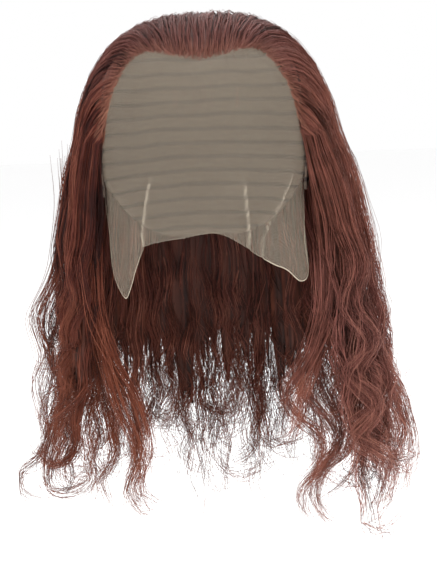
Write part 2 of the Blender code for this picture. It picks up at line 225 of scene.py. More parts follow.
def fade(value: Array, start: float, length: float) -> Array:
    """Eases from 0 at a start to 1 a length further on, downwards where the length is negative."""
    return smooth_step((value - start) / length)


def running_sum(steps: Array, axis: int = 1) -> Array:
    """Adds steps up along an axis, beginning with 0."""
    return np.insert(np.cumsum(steps, axis=axis), 0, 0, axis=axis)


def round_axis(azimuth: Array, radius: Array, level: Array) -> Array:
    """Gives points by azimuth in degrees, distance from the axis and height."""
    a = np.radians(azimuth)
    return np.stack([radius * np.sin(a), -radius * np.cos(a), level], axis=-1)


def smooth_line(points: Array, count: int, closed: bool = False) -> Array:
    """Runs a Catmull-Rom curve through points.

    Args:
        points: The points that the curve passes through.
        count: How many evenly spaced points to give back.
        closed: Whether the curve returns to its first point.

    Returns:
        The points along the curve.
    """
    points = np.array(points, float)
    if closed:
        padded = np.vstack([points[-1:], points, points[:2]])
    else:
        ends = 2 * points[[0, -1]] - points[[1, -2]]
        padded = np.vstack([ends[:1], points, ends[1:]])
    t = np.linspace(0, 1, 16, endpoint=False)[:, None]
    dense = []
    for a, b, c, d in zip(padded, padded[1:], padded[2:], padded[3:], strict=False):
        dense.append(b + (c - a) * t / 2 + (a - 2.5 * b + 2 * c - d / 2) * t**2 + (1.5 * (b - c) + (d - a) / 2) * t**3)
    dense.append(padded[-2][None])
    dense = np.vstack(dense)
    along = np.concatenate([[0], np.cumsum(np.linalg.norm(np.diff(dense, axis=0), axis=1))])
    at = np.linspace(0, along[-1], count + closed)[:count]
    return np.stack([np.interp(at, along, dense[:, k]) for k in range(dense.shape[1])], axis=-1)


def shell_mesh(name: str, outer: Array, inner: Array, closed: bool, fields: dict[str, Array]) -> bpy.types.Mesh:
    """Closes an outer and an inner grid of points into one body.

    Args:
        name: The mesh's name.
        outer: Rows of points outside.
        inner: Rows of points inside.
        closed: Whether each row runs all the way round, with the first row at one point.
        fields: Named numbers for the points of both grids, as grids of the same shape.

    Returns:
        The mesh.
    """
    rows, columns = outer.shape[:2]
    work = bmesh.new()
    layers = {word: work.verts.layers.float.new(word) for word in fields}
    sheets = [[[work.verts.new(place) for place in row] for row in points] for points in (outer, inner)]
    for sheet in sheets:
        for r in range(rows):
            for c in range(columns):
                for word, layer in layers.items():
                    sheet[r][c][layer] = float(fields[word][r, c])
        for r in range(rows - 1):
            for c in range(columns if closed else columns - 1):
                d = (c + 1) % columns
                work.faces.new([sheet[r][c], sheet[r][d], sheet[r + 1][d], sheet[r + 1][c]])
    rims = [[(-1, c) for c in range(columns)] + [(-1, 0)]] if closed else [
        [(0, c) for c in range(columns)], [(-1, c) for c in range(columns)],
        [(r, 0) for r in range(rows)], [(r, -1) for r in range(rows)],
    ]
    for rim in rims:
        for (r, c), (s, d) in zip(rim, rim[1:], strict=False):
            work.faces.new([sheets[0][r][c], sheets[0][s][d], sheets[1][s][d], sheets[1][r][c]])
    bmesh.ops.remove_doubles(work, verts=work.verts, dist=0.001 * MM)
    bmesh.ops.recalc_face_normals(work, faces=work.faces)
    mesh = bpy.data.meshes.new(name)
    work.to_mesh(mesh)
    work.free()
    mesh.shade_smooth()
    return mesh


def edge_round(half: Array, columns: int) -> Array:
    """Closes half an edge into directions all the way round the head.

    Args:
        half: Azimuth and polar angle of points on the +X side, from the face to the back.
        columns: How many directions to give back.

    Returns:
        Unit directions along the edge.
    """
    edge = direction(*half.T)
    edge = np.vstack([edge, edge[1:-1][::-1] * (-1, 1, 1)])
    edge = smooth_line(edge, columns, closed=True)
    return edge / np.linalg.norm(edge, axis=-1)[:, None]


def rows_to_edge(edge: Array, count: int, ease: float) -> tuple[Array, Array, Array]:
    """Spreads rows of directions over the head from its crown to an edge.

    Args:
        edge: Unit directions along the edge.
        count: How many steps there are from the crown to the edge.
        ease: Power that crowds the rows towards the edge when it is under 1.

    Returns:
        The directions, each row's share of the way, and the angle from the crown to the edge in each column.
    """
    start = direction(*np.array(CROWN_DIRECTION))
    share = np.linspace(0, 1, count + 1)[:, None, None] ** ease
    angle = np.arccos(np.clip(edge @ start, -1, 1))[None, :, None]
    rows = (np.sin((1 - share) * angle) * start + np.sin(share * angle) * edge) / np.sin(angle)
    return rows, share[..., 0], angle[..., 0]


def in_scene(name: str, data: bpy.types.ID) -> bpy.types.Object:
    """Puts a mesh, lamp or camera into the scene under a name."""
    thing = bpy.data.objects.new(name, data)
    bpy.context.scene.collection.objects.link(thing)
    return thing


def finished(name: str, mesh: bpy.types.Mesh, material: bpy.types.Material) -> bpy.types.Object:
    """Puts a mesh into the scene as a piece with its material."""
    mesh.materials.append(material)
    return in_scene(name, mesh)


@dataclass(frozen=True)
class HairFinish:
    """Colours and gloss of a lock's hairs, dark in its depth and lighter where light catches it."""

    name: str
    dark: tuple[float, float, float] = (0.020, 0.0045, 0.0035)
    middle: tuple[float, float, float] = (0.094, 0.0190, 0.0120)
    light: tuple[float, float, float] = (0.235, 0.076, 0.046)
    copper: tuple[float, float, float] = (0.30, 0.088, 0.040)
    # sheen: a pale tint mixed over the crown, a painted sheen of the light from above
    sheen: tuple[float, float, float] = (0.142, 0.055, 0.048)
    roughness: float = 0.42
    gloss: float = 0.17

    def material(self) -> bpy.types.Material:
        """Makes the hair's material from each hair's own tone, its length and its warmth."""
        if self.name in bpy.data.materials:
            return bpy.data.materials[self.name]
        made, shader = new_material(self.name, {"Specular IOR Level": self.gloss})
        tree = made.node_tree
        inputs = {word: (*getattr(self, word.lower()), 1) for word in HAIR_COLOURS}
        inputs |= {word.title(): read_attribute(tree, word) for word in ("tone", "along", "warmth")}
        inputs |= {"Place": object_place(tree), "Roughness": self.roughness}
        group = add_node(tree, "ShaderNodeGroup", inputs, node_tree=hair_colour_group())
        tree.links.new(group.outputs["Colour"], shader.inputs["Base Color"])
        tree.links.new(group.outputs["Roughness"], shader.inputs["Roughness"])
        return made


def new_group(name: str, kind: str, inputs: tuple, outputs: tuple) -> bpy.types.NodeTree:
    """Starts a node group with named sockets.

    Args:
        name: The group's name.
        kind: ShaderNodeTree or GeometryNodeTree.
        inputs: Socket type and name of each input.
        outputs: Socket type and name of each output.

    Returns:
        The group, with its input and output nodes named In and Out.
    """
    group = bpy.data.node_groups.new(name, kind)
    for way, sockets in (("INPUT", inputs), ("OUTPUT", outputs)):
        for socket_type, socket_name in sockets:
            group.interface.new_socket(socket_name, in_out=way, socket_type=f"NodeSocket{socket_type}")
    group.nodes.new("NodeGroupInput").name = "In"
    group.nodes.new("NodeGroupOutput").name = "Out"
    return group


def add_node(
    tree: bpy.types.NodeTree, kind: str, inputs: dict[str | int, object], **settings: object
) -> bpy.types.Node:
    """Adds a node, sets its options and feeds its inputs.

    Args:
        tree: The tree that it goes in.
        kind: The node's type.
        inputs: A value or a socket for each input, by the input's name or place.
        settings: The node's own options.

    Returns:
        The node.
    """
    node = tree.nodes.new(kind)
    for option, value in settings.items():
        setattr(node, option, value)
    for socket, value in inputs.items():
        if isinstance(value, bpy.types.NodeSocket):
            tree.links.new(value, node.inputs[socket])
        else:
            node.inputs[socket].default_value = value
    return node


def math_node(tree: bpy.types.NodeTree, operation: str, *values: object) -> bpy.types.NodeSocket:
    """Adds a Math node fed with numbers or sockets and gives its result."""
    return add_node(tree, "ShaderNodeMath", dict(enumerate(values)), operation=operation).outputs[0]


def clamped(tree: bpy.types.NodeTree, operation: str, *values: object) -> bpy.types.NodeSocket:
    """Adds a Math node whose result is held between 0 and 1."""
    inputs = dict(enumerate(values))
    return add_node(tree, "ShaderNodeMath", inputs, operation=operation, use_clamp=True).outputs[0]


def mix_colour(tree: bpy.types.NodeTree, share: object, first: object, second: object) -> bpy.types.NodeSocket:
    """Adds a colour Mix node, from the first colour at 0 to the second at 1, and gives its result."""
    return add_node(tree, "ShaderNodeMix", {"Factor": share, 6: first, 7: second}, data_type="RGBA").outputs[2]


def read_attribute(tree: bpy.types.NodeTree, name: str) -> bpy.types.NodeSocket:
    """Reads a named number of the surface."""
    return add_node(tree, "ShaderNodeAttribute", {}, attribute_name=name).outputs["Fac"]


def object_place(tree: bpy.types.NodeTree) -> bpy.types.NodeSocket:
    """Reads the Object coordinates."""
    return tree.nodes.new("ShaderNodeTexCoord").outputs["Object"]


def new_material(name: str, sockets: dict[str, object]) -> tuple[bpy.types.Material, bpy.types.Node]:
    """Starts a material.

    Args:
        name: The material's name.
        sockets: Values that are the same all over the surface, by the shader's socket.

    Returns:
        The material and its shader.
    """
    made = bpy.data.materials.new(name)
    made.use_nodes = True
    shader = made.node_tree.nodes["Principled BSDF"]
    for socket, value in sockets.items():
        shader.inputs[socket].default_value = value
    return made, shader


def raise_surface(
    tree: bpy.types.NodeTree, shader: bpy.types.Node, height: bpy.types.NodeSocket, strength: float, distance: float
) -> None:
    """Gives a shader a bump.

    Args:
        tree: The material's tree.
        shader: The shader.
        height: Socket of the height.
        strength: The bump's strength.
        distance: Metres from a height of 0 to 1.
    """
    inputs = {"Height": height, "Strength": strength, "Distance": distance}
    tree.links.new(add_node(tree, "ShaderNodeBump", inputs).outputs[0], shader.inputs["Normal"])


def hair_colour_group() -> bpy.types.NodeTree:
    """Builds the shared group that colours a hair from its tone, place along its length and warmth, with a painted
    sheen over the crown.
    """
    name = "hair_colour"
    if name in bpy.data.node_groups:
        return bpy.data.node_groups[name]
    colours = tuple(("Color", word) for word in HAIR_COLOURS)
    numbers = tuple(("Float", word) for word in ("Tone", "Along", "Warmth", "Roughness"))
    results = (("Color", "Colour"), ("Float", "Roughness"))
    group = new_group(name, "ShaderNodeTree", (*colours, *numbers, ("Vector", "Place")), results)
    given, out = group.nodes["In"].outputs, group.nodes["Out"].inputs
    noise = add_node(group, "ShaderNodeTexNoise", {"Vector": given["Place"], "Scale": 60, "Detail": 2})
    fleck = noise.outputs["Fac"]
    tone = math_node(group, "ADD", given["Tone"], math_node(group, "MULTIPLY_ADD", fleck, 0.7, -0.35))
    low = clamped(group, "MULTIPLY", tone, 2.0)
    high = clamped(group, "MULTIPLY_ADD", tone, 2.0, -1.0)
    shade = mix_colour(group, low, given["Dark"], given["Middle"])
    shade = mix_colour(group, high, shade, given["Light"])
    root = clamped(group, "MULTIPLY_ADD", given["Along"], -55.0, 1.0)
    warm = math_node(group, "MAXIMUM", given["Warmth"], math_node(group, "MULTIPLY", root, 0.55))
    bright = clamped(group, "MULTIPLY_ADD", tone, 0.8, 0.35)
    shade = mix_colour(group, math_node(group, "MULTIPLY", warm, bright), shade, given["Copper"])
    # Painted sheen: from 55 mm below the origin up to 5 mm below it, the colour is mixed towards Sheen, more on lighter
    # hairs
    height = add_node(group, "ShaderNodeSeparateXYZ", {0: given["Place"]}).outputs["Z"]
    crown = clamped(group, "MULTIPLY_ADD", height, 20.0, 1.1)
    streak = clamped(group, "MULTIPLY_ADD", tone, 1.3, -0.1)
    shade = mix_colour(group, math_node(group, "MULTIPLY", crown, streak), shade, given["Sheen"])
    group.links.new(shade, out["Colour"])
    rough = math_node(group, "MULTIPLY_ADD", fleck, 0.16, -0.08)
    group.links.new(math_node(group, "ADD", rough, given["Roughness"]), out["Roughness"])
    return group


def strand_tree() -> bpy.types.NodeTree:
    """Builds the Geometry Nodes tree that turns hair paths into tapered, slightly frizzy, closed hairs."""
    name = "hair_strands"
    if name in bpy.data.node_groups:
        return bpy.data.node_groups[name]
    tree = new_group(
        name,
        "GeometryNodeTree",
        (
            ("Geometry", "Paths"), ("Float", "Hair Radius"), ("Int", "Sides"), ("Float", "Frizz"),
            ("Float", "Frizz Size"), ("Float", "Seed"), ("Material", "Finish"),
        ),
        (("Geometry", "Hairs"),),
    )
    given = tree.nodes["In"].outputs

    def reader(attribute: str) -> bpy.types.NodeSocket:
        """Reads a named number of the paths' points."""
        inputs = {"Name": attribute}
        return add_node(tree, "GeometryNodeInputNamedAttribute", inputs, data_type="FLOAT").outputs["Attribute"]

    curve = add_node(tree, "GeometryNodeMeshToCurve", {"Mesh": given["Paths"]}).outputs["Curve"]
    inputs = {
        "Vector": tree.nodes.new("GeometryNodeInputPosition").outputs[0],
        "W": math_node(tree, "MULTIPLY_ADD", reader("strand"), 7.31, given["Seed"]),
        "Scale": math_node(tree, "DIVIDE", 1.0, given["Frizz Size"]),
        "Detail": 0.0,
    }
    noise = add_node(tree, "ShaderNodeTexNoise", inputs, noise_dimensions="4D").outputs["Color"]
    centred = add_node(tree, "ShaderNodeVectorMath", {0: noise, 1: (0.5, 0.5, 0.5)}, operation="SUBTRACT")
    amount = math_node(tree, "MULTIPLY", reader("frizz"), given["Frizz"])
    pushed = add_node(tree, "ShaderNodeVectorMath", {0: centred.outputs[0], "Scale": amount}, operation="SCALE")
    moved = add_node(tree, "GeometryNodeSetPosition", {"Geometry": curve, "Offset": pushed.outputs[0]})
    inputs = {"Resolution": given["Sides"], "Radius": given["Hair Radius"]}
    ring = add_node(tree, "GeometryNodeCurvePrimitiveCircle", inputs).outputs["Curve"]
    inputs = {"Geometry": ring, "Name": "corner", "Value": tree.nodes.new("GeometryNodeInputIndex").outputs[0]}
    corner = add_node(tree, "GeometryNodeStoreNamedAttribute", inputs, domain="POINT", data_type="FLOAT")
    inputs = {
        "Curve": moved.outputs["Geometry"], "Profile Curve": corner.outputs["Geometry"],
        "Scale": reader("thickness"), "Fill Caps": True,
    }
    tube = add_node(tree, "GeometryNodeCurveToMesh", inputs).outputs["Mesh"]
    realize = add_node(tree, "GeometryNodeRealizeInstances", {"Geometry": tube}).outputs["Geometry"]
    finish = add_node(tree, "GeometryNodeSetMaterial", {"Geometry": realize, "Material": given["Finish"]})
    tree.links.new(finish.outputs["Geometry"], tree.nodes["Out"].inputs["Hairs"])
    return tree


@dataclass
class Hairs:
    """Paths of single hairs, all with the same number of points, and what each carries to its material."""

    paths: Array
    tone: Array
    warmth: Array
    frizz: Array
    thickness: Array
    along: Array


@dataclass(frozen=True)
class StrandMaker:
    """Turns hair paths into one mesh piece through the Geometry Nodes tree."""

    radius: float = 0.24 * MM
    sides: int = 3
    frizz: float = 1.0
    frizz_size: float = 62 * MM
    columns: int = 204

    def piece(self, name: str, hairs: Hairs, finish: bpy.types.Material, seed: int) -> bpy.types.Object:
        """Builds the hairs of one piece.

        Args:
            name: The piece's name.
            hairs: The paths and what they carry.
            finish: The hairs' material.
            seed: Seed of the frizz.

        Returns:
            The piece as a plain mesh with a strip of the OFBake map for each hair.
        """
        count, points = hairs.paths.shape[:2]
        mesh = bpy.data.meshes.new(name + "_paths")
        mesh.vertices.add(count * points)
        mesh.vertices.foreach_set("co", hairs.paths.astype(np.float32).ravel())
        first = (np.arange(count)[:, None] * points + np.arange(points - 1)[None]).ravel()
        mesh.edges.add(len(first))
        mesh.edges.foreach_set("vertices", np.stack([first, first + 1], axis=-1).astype(np.int32).ravel())
        fields = {"strand": np.repeat(np.arange(count), points)}
        fields |= {word: values for word, values in vars(hairs).items() if word != "paths"}
        for word, values in fields.items():
            layer = mesh.attributes.new(word, "FLOAT", "POINT")
            layer.data.foreach_set("value", np.ascontiguousarray(values, np.float32).ravel())
        guide = in_scene(name + "_paths", mesh)
        modifier = guide.modifiers.new("strands", "NODES")
        modifier.node_group = strand_tree()
        values = {
            "Hair Radius": self.radius, "Sides": self.sides, "Frizz": self.frizz,
            "Frizz Size": self.frizz_size, "Seed": float(seed), "Finish": finish,
        }
        for item in modifier.node_group.interface.items_tree:
            if item.in_out == "INPUT" and item.name in values:
                modifier[item.identifier] = values[item.name]
        graph = bpy.context.evaluated_depsgraph_get()
        made = bpy.data.meshes.new_from_object(guide.evaluated_get(graph), depsgraph=graph)
        bpy.data.objects.remove(guide)
        bpy.data.meshes.remove(mesh)
        made.name = name
        self.lay_strips(made, count)
        made.shade_smooth()
        return in_scene(name, made)

    def lay_strips(self, mesh: bpy.types.Mesh, count: int) -> None:
        """Lays each hair out as its own strip of a UV map, in rows of columns.

        Args:
            mesh: The hairs.
            count: How many there are.
        """
        values = {}
        for word in ("strand", "along", "corner"):
            values[word] = np.empty(len(mesh.vertices), np.float32)
            mesh.attributes[word].data.foreach_get("value", values[word])
        loops = np.empty(len(mesh.loops), np.int32)
        mesh.loops.foreach_get("vertex_index", loops)
        starts, sizes = np.empty(len(mesh.polygons), np.int32), np.empty(len(mesh.polygons), np.int32)
        mesh.polygons.foreach_get("loop_start", starts)
        mesh.polygons.foreach_get("loop_total", sizes)
        corner = np.round(values["corner"][loops])
        face = np.repeat(np.arange(len(starts)), sizes)
        wraps = np.zeros(len(starts), bool)
        np.logical_or.at(wraps, face, corner == self.sides - 1)
        corner = np.where(wraps[face] & (corner == 0), self.sides, corner)
        strand = np.round(values["strand"][loops]).astype(int)
        rows = math.ceil(count / self.columns)
        across = (strand % self.columns + 0.12 + 0.76 * corner / self.sides) / self.columns
        up = (strand // self.columns + 0.01 + 0.98 * values["along"][loops]) / rows
        layer = mesh.uv_layers.new(name="OFBake")
        layer.data.foreach_set("uv", np.stack([across, up], axis=-1).astype(np.float32).ravel())
        mesh.attributes.remove(mesh.attributes["corner"])


@dataclass(frozen=True)
class Curl:
    """How hair waves while it hangs: lengths in metres, angles round the head in degrees and swings in radians."""

    begins: float = 5 * MM
    full: float = 200 * MM
    swing: float = 0.6
    wave: float = 70 * MM
    hook: float = 2.5
    hook_length: float = 60 * MM
    gather: float = 0.7
    gather_begins: float = 60 * MM
    gather_length: float = 200 * MM
    fan: float = 0.45
    fan_length: float = 90 * MM
    spread: float = 0.9
    slack: float = 1.13
    drift: float = 3.0
    drift_length: float = 70 * MM
    carry: float = 20 * MM
    carry_limit: float = 3.5
    lean: float = 0.0
    lean_begins: float = 90 * MM
    lean_length: float = 190 * MM
    cut: float = 0.34
    settle: float = 60 * MM
    uneven: float = 2.6 * MM
    thinning: float = 1.5


class Combing:
    """The lines along which the hair is combed over the head."""

    def __init__(self) -> None:
        """Reads the stations into a smooth table, evenly spaced along the hairline."""
        table = np.array(COMBING, float)
        root = direction(table[:, 0], table[:, 1])
        gaps = np.linalg.norm(np.diff(root, axis=0), axis=1)
        self.at = running_sum(gaps, axis=0) / gaps.sum()
        self.table = table

    def read(self, station: Array, column: int) -> Array:
        """Reads one column of the stations at shares of the half hairline."""
        return np.interp(np.abs(station), self.at, self.table[:, column])

    def station_of(self, azimuth: Array) -> Array:
        """Station whose hair hangs at an azimuth, with the azimuth's sign."""
        ends = self.table[::-1, 4]
        return np.sign(azimuth) * np.interp(np.abs(azimuth), ends, self.at[::-1])

    def line(self, station: Array, share: Array) -> Array:
        """Finds directions along the combing.

        Args:
            station: Where each hair's line begins, from -1 at the left end of the hairline to 1 at its right.
            share: Places along each line, from 0 at the hairline to 1 where the hair hangs.

        Returns:
            Unit directions, one row for each hair.
        """
        side = np.where(station < 0, -1.0, 1.0)
        root = direction(side * self.read(station, 0), self.read(station, 1))[:, None]
        bend = direction(side * self.read(station, 2), self.read(station, 3))[:, None]
        end = direction(side * self.read(station, 4), np.full_like(station, 84.0))[:, None]
        t = share[..., None]
        line = (1 - t) ** 2 * root + 2 * t * (1 - t) * bend + t**2 * end
        return line / np.linalg.norm(line, axis=-1)[..., None]


class Layer(Enum):
    """Which of a section's hair a piece holds."""

    OUTER = "top"
    INNER = "low"
    STRAY = "stray"


@dataclass(frozen=True)
class Growth:
    """How one layer of hair is rooted, and how finely its hairs are drawn."""

    hairs: int
    rooted: tuple[float, float]
    depths: tuple[float, float]
    combed_points: int
    hanging_points: int
    radius: float
    frizz: float


GROWTH = {
    Layer.OUTER: Growth(570, (-0.02, 0.05), (0.45, 1.0), 8, 25, 0.20 * MM, 7 * MM),
    Layer.INNER: Growth(480, (0.05, 0.9), (0.0, 0.72), 5, 19, 0.29 * MM, 7 * MM),
    Layer.STRAY: Growth(50, (0.0, 0.5), (0.95, 1.08), 8, 26, 0.13 * MM, 19 * MM),
}


@dataclass
class HairSection:
    """Hair that hangs in one section of the wig, from its roots over the head to its waved tips."""

    name: str
    node: str
    start: float
    end: float
    finish: HairFinish
    tips: tuple[tuple[float, float, float], ...]
    seed: int
    slim: float = 0.0
    along_hairline: float = 0.0
    curl: Curl = field(default_factory=Curl)
    clumps: int = 46
    cells: int = 64
    clump_angle: float = 6.0
    clump_depth: float = 0.3
    overlap: float = 6.0
    rise: float = 15 * MM
    wander: float = 2.2 * MM
    wander_length: float = 80 * MM
    combed_frizz: float = 2.4 * MM
    tone: float = 0.33
    streaked: float = 0.14
    streak_tone: float = 0.32

    def build(self, combing: Combing, layer: Layer) -> bpy.types.Object:
        """Makes one layer of the section's hair.

        Args:
            combing: The lines that the hair follows.
            layer: The layer.

        Returns:
            The layer as one piece.
        """
        seed = self.seed + 20 * list(Layer).index(layer)
        hairs = self.grow(np.random.default_rng(seed), combing, GROWTH[layer])
        name = f"{self.name}_{layer.value}_hair"
        return StrandMaker(GROWTH[layer].radius).piece(name, hairs, self.finish.material(), seed)

    def grow(self, rng: np.random.Generator, combing: Combing, growth: Growth) -> Hairs:
        """Works out each hair's path over the head and down to its tip, and what it carries to its material.

        Args:
            rng: The layer's random numbers.
            combing: The lines that the hair follows.
            growth: How the layer is rooted.

        Returns:
            The hairs.
        """
        over, risen, depth, strand_tone = self.comb(rng, combing, growth)
        hanging, ramp, clump_tone = self.hang(rng, over[:, -2:], depth, growth.hanging_points)
        paths = np.concatenate([over, hanging[:, 1:]], axis=1)
        length = running_sum(np.linalg.norm(np.diff(paths, axis=1), axis=-1))
        along = length / length[:, -1:]
        loose = self.combed_frizz + growth.frizz * ramp
        frizz = np.concatenate([self.combed_frizz * risen, loose[:, 1:]], axis=1)
        taper = np.interp(along, (0, 0.06, 0.7, 1), (0.5, 1, 0.85, 0.5))
        # Painted shade: hairs that lie deeper in the hair, and the inner layer as a whole, get a darker tone
        lit = (np.mean(depth) - 0.5) * 0.3 + 0.18 * (depth - np.mean(depth))
        streak = np.where(rng.uniform(0, 1, len(paths)) < self.streaked, self.streak_tone, 0)
        streak = streak + 0.5 * (strand_tone - 0.5)
        tone = clump_tone + rng.normal(self.tone, 0.12, len(paths)) + lit + streak
        return Hairs(paths, np.clip(tone[:, None] + self.shade(paths), 0, 1), self.warmth(paths), frizz, taper, along)

    def comb(self, rng: np.random.Generator, combing: Combing, growth: Growth) -> tuple[Array, Array, Array, Array]:
        """Roots the hairs and combs them over the head.

        Args:
            rng: The layer's random numbers.
            combing: The lines that the hair follows.
            growth: How the layer is rooted.

        Returns:
            The paths over the head, how far each point has risen to its depth, each hair's depth, and a number
            from 0 to 1 that neighbouring hairs share.
        """
        station = combing.station_of(rng.uniform(self.start, self.end, growth.hairs))
        ends = combing.station_of(np.array([self.start, self.end]))
        on_line = rng.uniform(min(ends), max(ends), growth.hairs)
        station = np.where(rng.uniform(0, 1, growth.hairs) < self.along_hairline, on_line, station)
        start = rng.uniform(*growth.rooted, growth.hairs)
        cell = ((np.argsort(np.argsort(station)) * self.cells) // growth.hairs).astype(int)
        cell_depth, cell_turn, cell_tone = rng.uniform(0, 1, (3, self.cells))[:, cell]
        low, high = growth.depths
        depth = low + (high - low) * (0.6 * cell_depth + 0.4 * rng.uniform(0, 1, growth.hairs))
        even = np.linspace(0, 1, growth.combed_points) ** 1.25
        towards = combing.line(station, start[:, None] + (1 - start[:, None]) * even[None])
        bare = on_head(towards, np.zeros(towards.shape[:2]))
        run = running_sum(np.linalg.norm(np.diff(bare, axis=1), axis=-1))
        full = HAIR_BASE + (hair_height(towards) - HAIR_BASE) * depth[:, None]
        risen = 1 - np.exp(-run / self.rise)
        over = on_head(towards, LACE_HEIGHT + (full - LACE_HEIGHT) * risen)
        across = np.cross(np.gradient(over, axis=1), towards)
        across /= np.linalg.norm(across, axis=-1)[..., None]
        turn = 2 * math.pi * cell_turn[:, None] + rng.normal(0, 0.3, (len(run), 1))
        wander = self.wander * np.sin(2 * math.pi * run / self.wander_length + turn) * risen
        return over + across * wander[..., None], risen, depth, cell_tone

    def clump(self, rng: np.random.Generator, azimuth: Array, layer: Array) -> tuple[Array, Array, Array]:
        """Shares the hairs out among clumps.

        Args:
            rng: The layer's random numbers.
            azimuth: Azimuth of each hair, without a jump inside the section.
            layer: Depth of each hair.

        Returns:
            The number of each hair's clump, and the azimuth and depth of its middle.
        """
        spill = [self.overlap if abs(limit) > 100 else 1 for limit in (self.start, self.end)]
        middle = rng.uniform(self.start - spill[0], self.end + spill[1], self.clumps)
        middle_layer = rng.uniform(0.05, 1.0, self.clumps)
        sideways = (azimuth[:, None] - middle) / self.clump_angle
        inwards = (layer[:, None] - middle_layer) / self.clump_depth
        mine = np.argmin(sideways**2 + inwards**2, axis=1)
        return mine, middle[mine], middle_layer[mine]

    def wave(
        self, rng: np.random.Generator, mine: Array, azimuth: Array, top: Array, points: int
    ) -> tuple[Array, Array, Array, Array]:
        """Bends each hair into its clump's waves and the hook at its end.

        Args:
            rng: The layer's random numbers.
            mine: The number of each hair's clump.
            azimuth: Azimuth of each hair.
            top: Height where each hair begins to hang.
            points: How many points each hanging part has after its first.

        Returns:
            Distance along each hair, the length that it would have uncut, how much of the full wave each point
            has, and how far each point lies round the head, outwards and downwards.
        """
        count, curl = len(mine), self.curl
        phase = rng.uniform(0, 2 * math.pi, (self.clumps, 3))[mine]
        wave = curl.wave * rng.uniform(0.8, 1.3, self.clumps)[mine]
        swing = curl.swing * rng.uniform(0.6, 1.35, self.clumps)[mine] * rng.uniform(0.85, 1.15, count)
        table = np.array(self.tips, float)
        order = np.argsort(table[:, 0])
        short, long = (np.interp(azimuth, table[order, 0], table[order, k]) * MM for k in (1, 2))
        keep = rng.uniform(0, 1, self.clumps)[mine] ** curl.thinning
        length = ((top - (short + (long - short) * keep)) * curl.slack)[:, None]
        eased = 1 - (1 - np.linspace(0, 1, points + 1)) ** 1.2
        down = eased[None] * length * (1 - curl.cut * rng.uniform(0, 1, (count, 1)) ** 1.5)
        ramp = smooth_step((down - curl.begins) / (curl.full - curl.begins))
        turns = 2 * math.pi * down / wave[:, None] * (1 + down)
        loose = rng.normal(0, 0.14, (count, 1))
        tangent, outward = (swing[:, None] * ramp * np.sin(turns + phase[:, k : k + 1] + loose) for k in (0, 1))
        sink = -np.sqrt(np.clip(1 - tangent**2 - outward**2, 0.05, 1))
        hook_share = np.clip((down - (length - curl.hook_length)) / curl.hook_length, 0, 1)
        hook = curl.hook * rng.uniform(0.35, 1.6, self.clumps)[mine][:, None] * hook_share**1.4
        way = phase[:, 2:3] + rng.normal(0, 0.2, (count, 1))
        gap = np.diff(down, axis=1)
        ways = ((tangent, np.cos(way)), (outward, 0.7 * np.sin(way)), (sink, 0))
        slopes = [np.cos(hook) * part + np.sin(hook) * aim for part, aim in ways]
        moved = np.stack([running_sum((slope[:, 1:] + slope[:, :-1]) / 2 * gap) for slope in slopes])
        return down, length, ramp, moved

    def hang(self, rng: np.random.Generator, last: Array, layer: Array, points: int) -> tuple[Array, Array, Array]:
        """Lets the hair hang from the widest part of the head, straight at first and then in waves.

        Args:
            rng: The layer's random numbers.
            last: The last two points of each hair on the head.
            layer: Depth of each hair.
            points: How many points each hanging part has after its first.

        Returns:
            The hanging paths, how much of the full wave each point has, and how much lighter each hair's clump is.
        """
        curl, centre, top = self.curl, (self.start + self.end) / 2, last[:, 1]
        before, azimuth = (np.degrees(np.arctan2(last[:, k, 0], -last[:, k, 1])) for k in (0, 1))
        turning = ((azimuth - before + 180) % 360 - 180) / np.linalg.norm(last[:, 1] - last[:, 0], axis=-1)
        carried = np.clip(turning * curl.carry, -curl.carry_limit, curl.carry_limit)[:, None]
        signed = (azimuth - centre + 180) % 360 - 180 + centre
        mine, middle, middle_layer = self.clump(rng, signed, layer)
        down, length, ramp, (tangent, outward, sink) = self.wave(rng, mine, signed, top[:, 2], points)
        level = top[:, 2:3] + sink
        fanned = 1 - curl.fan * fade(down, length - curl.fan_length, curl.fan_length)
        gathered = curl.gather * fade(down, curl.gather_begins, curl.gather_length) * fanned
        drift = np.sign(signed) * np.clip((80 - np.abs(signed)) / 20, 0, 1) * curl.drift
        base = signed[:, None] + (middle - signed)[:, None] * gathered
        base = base + drift[:, None] * fade(down, 0, curl.drift_length) + carried * (1 - np.exp(-down / curl.carry))
        base = base - np.sign(signed)[:, None] * curl.lean * fade(down, curl.lean_begins, curl.lean_length)
        base = base + rng.normal(0, curl.spread, (len(mine), 1)) * ramp
        depth = layer[:, None] + (middle_layer - layer)[:, None] * gathered * 0.8
        narrow = fade(level, -115 * MM, -60 * MM) * fade(level, -350 * MM, 40 * MM)
        depth = depth * (1 - self.slim * narrow - 0.1 * ramp)
        turned = base + np.degrees(tangent / (115 * MM))
        radius = hanging_radius(turned, level, depth)
        left_over = np.linalg.norm(top[:, :2], axis=-1) - hanging_radius(signed, top[:, 2], layer)
        uneven = rng.normal(0, curl.uneven, self.clumps)[mine][:, None] * fade(down, 0, curl.settle)
        radius = radius + outward + uneven + left_over[:, None] * np.exp(-down / curl.settle)
        hanging = round_axis(turned, radius, level)
        return np.clip(hanging, *REACH), ramp, rng.normal(0, 0.17, self.clumps)[mine]

    def warmth(self, paths: Array) -> Array:
        """Finds how coppery the hair is: most in a band down the right side and low on the left.

        Args:
            paths: The hairs' points.

        Returns:
            0 to 1 for each point.
        """
        x, y, z = paths[..., 0], paths[..., 1], paths[..., 2]
        on_right, above_ends = fade(x, 40 * MM, 30 * MM), fade(z, -230 * MM, 100 * MM)
        band = on_right * above_ends * fade(y, 50 * MM, -60 * MM) * 0.4
        low = fade(z, -150 * MM, -150 * MM) * np.where(x < 0, 0.36, 0.26)
        return np.clip(band + low, 0, 1)

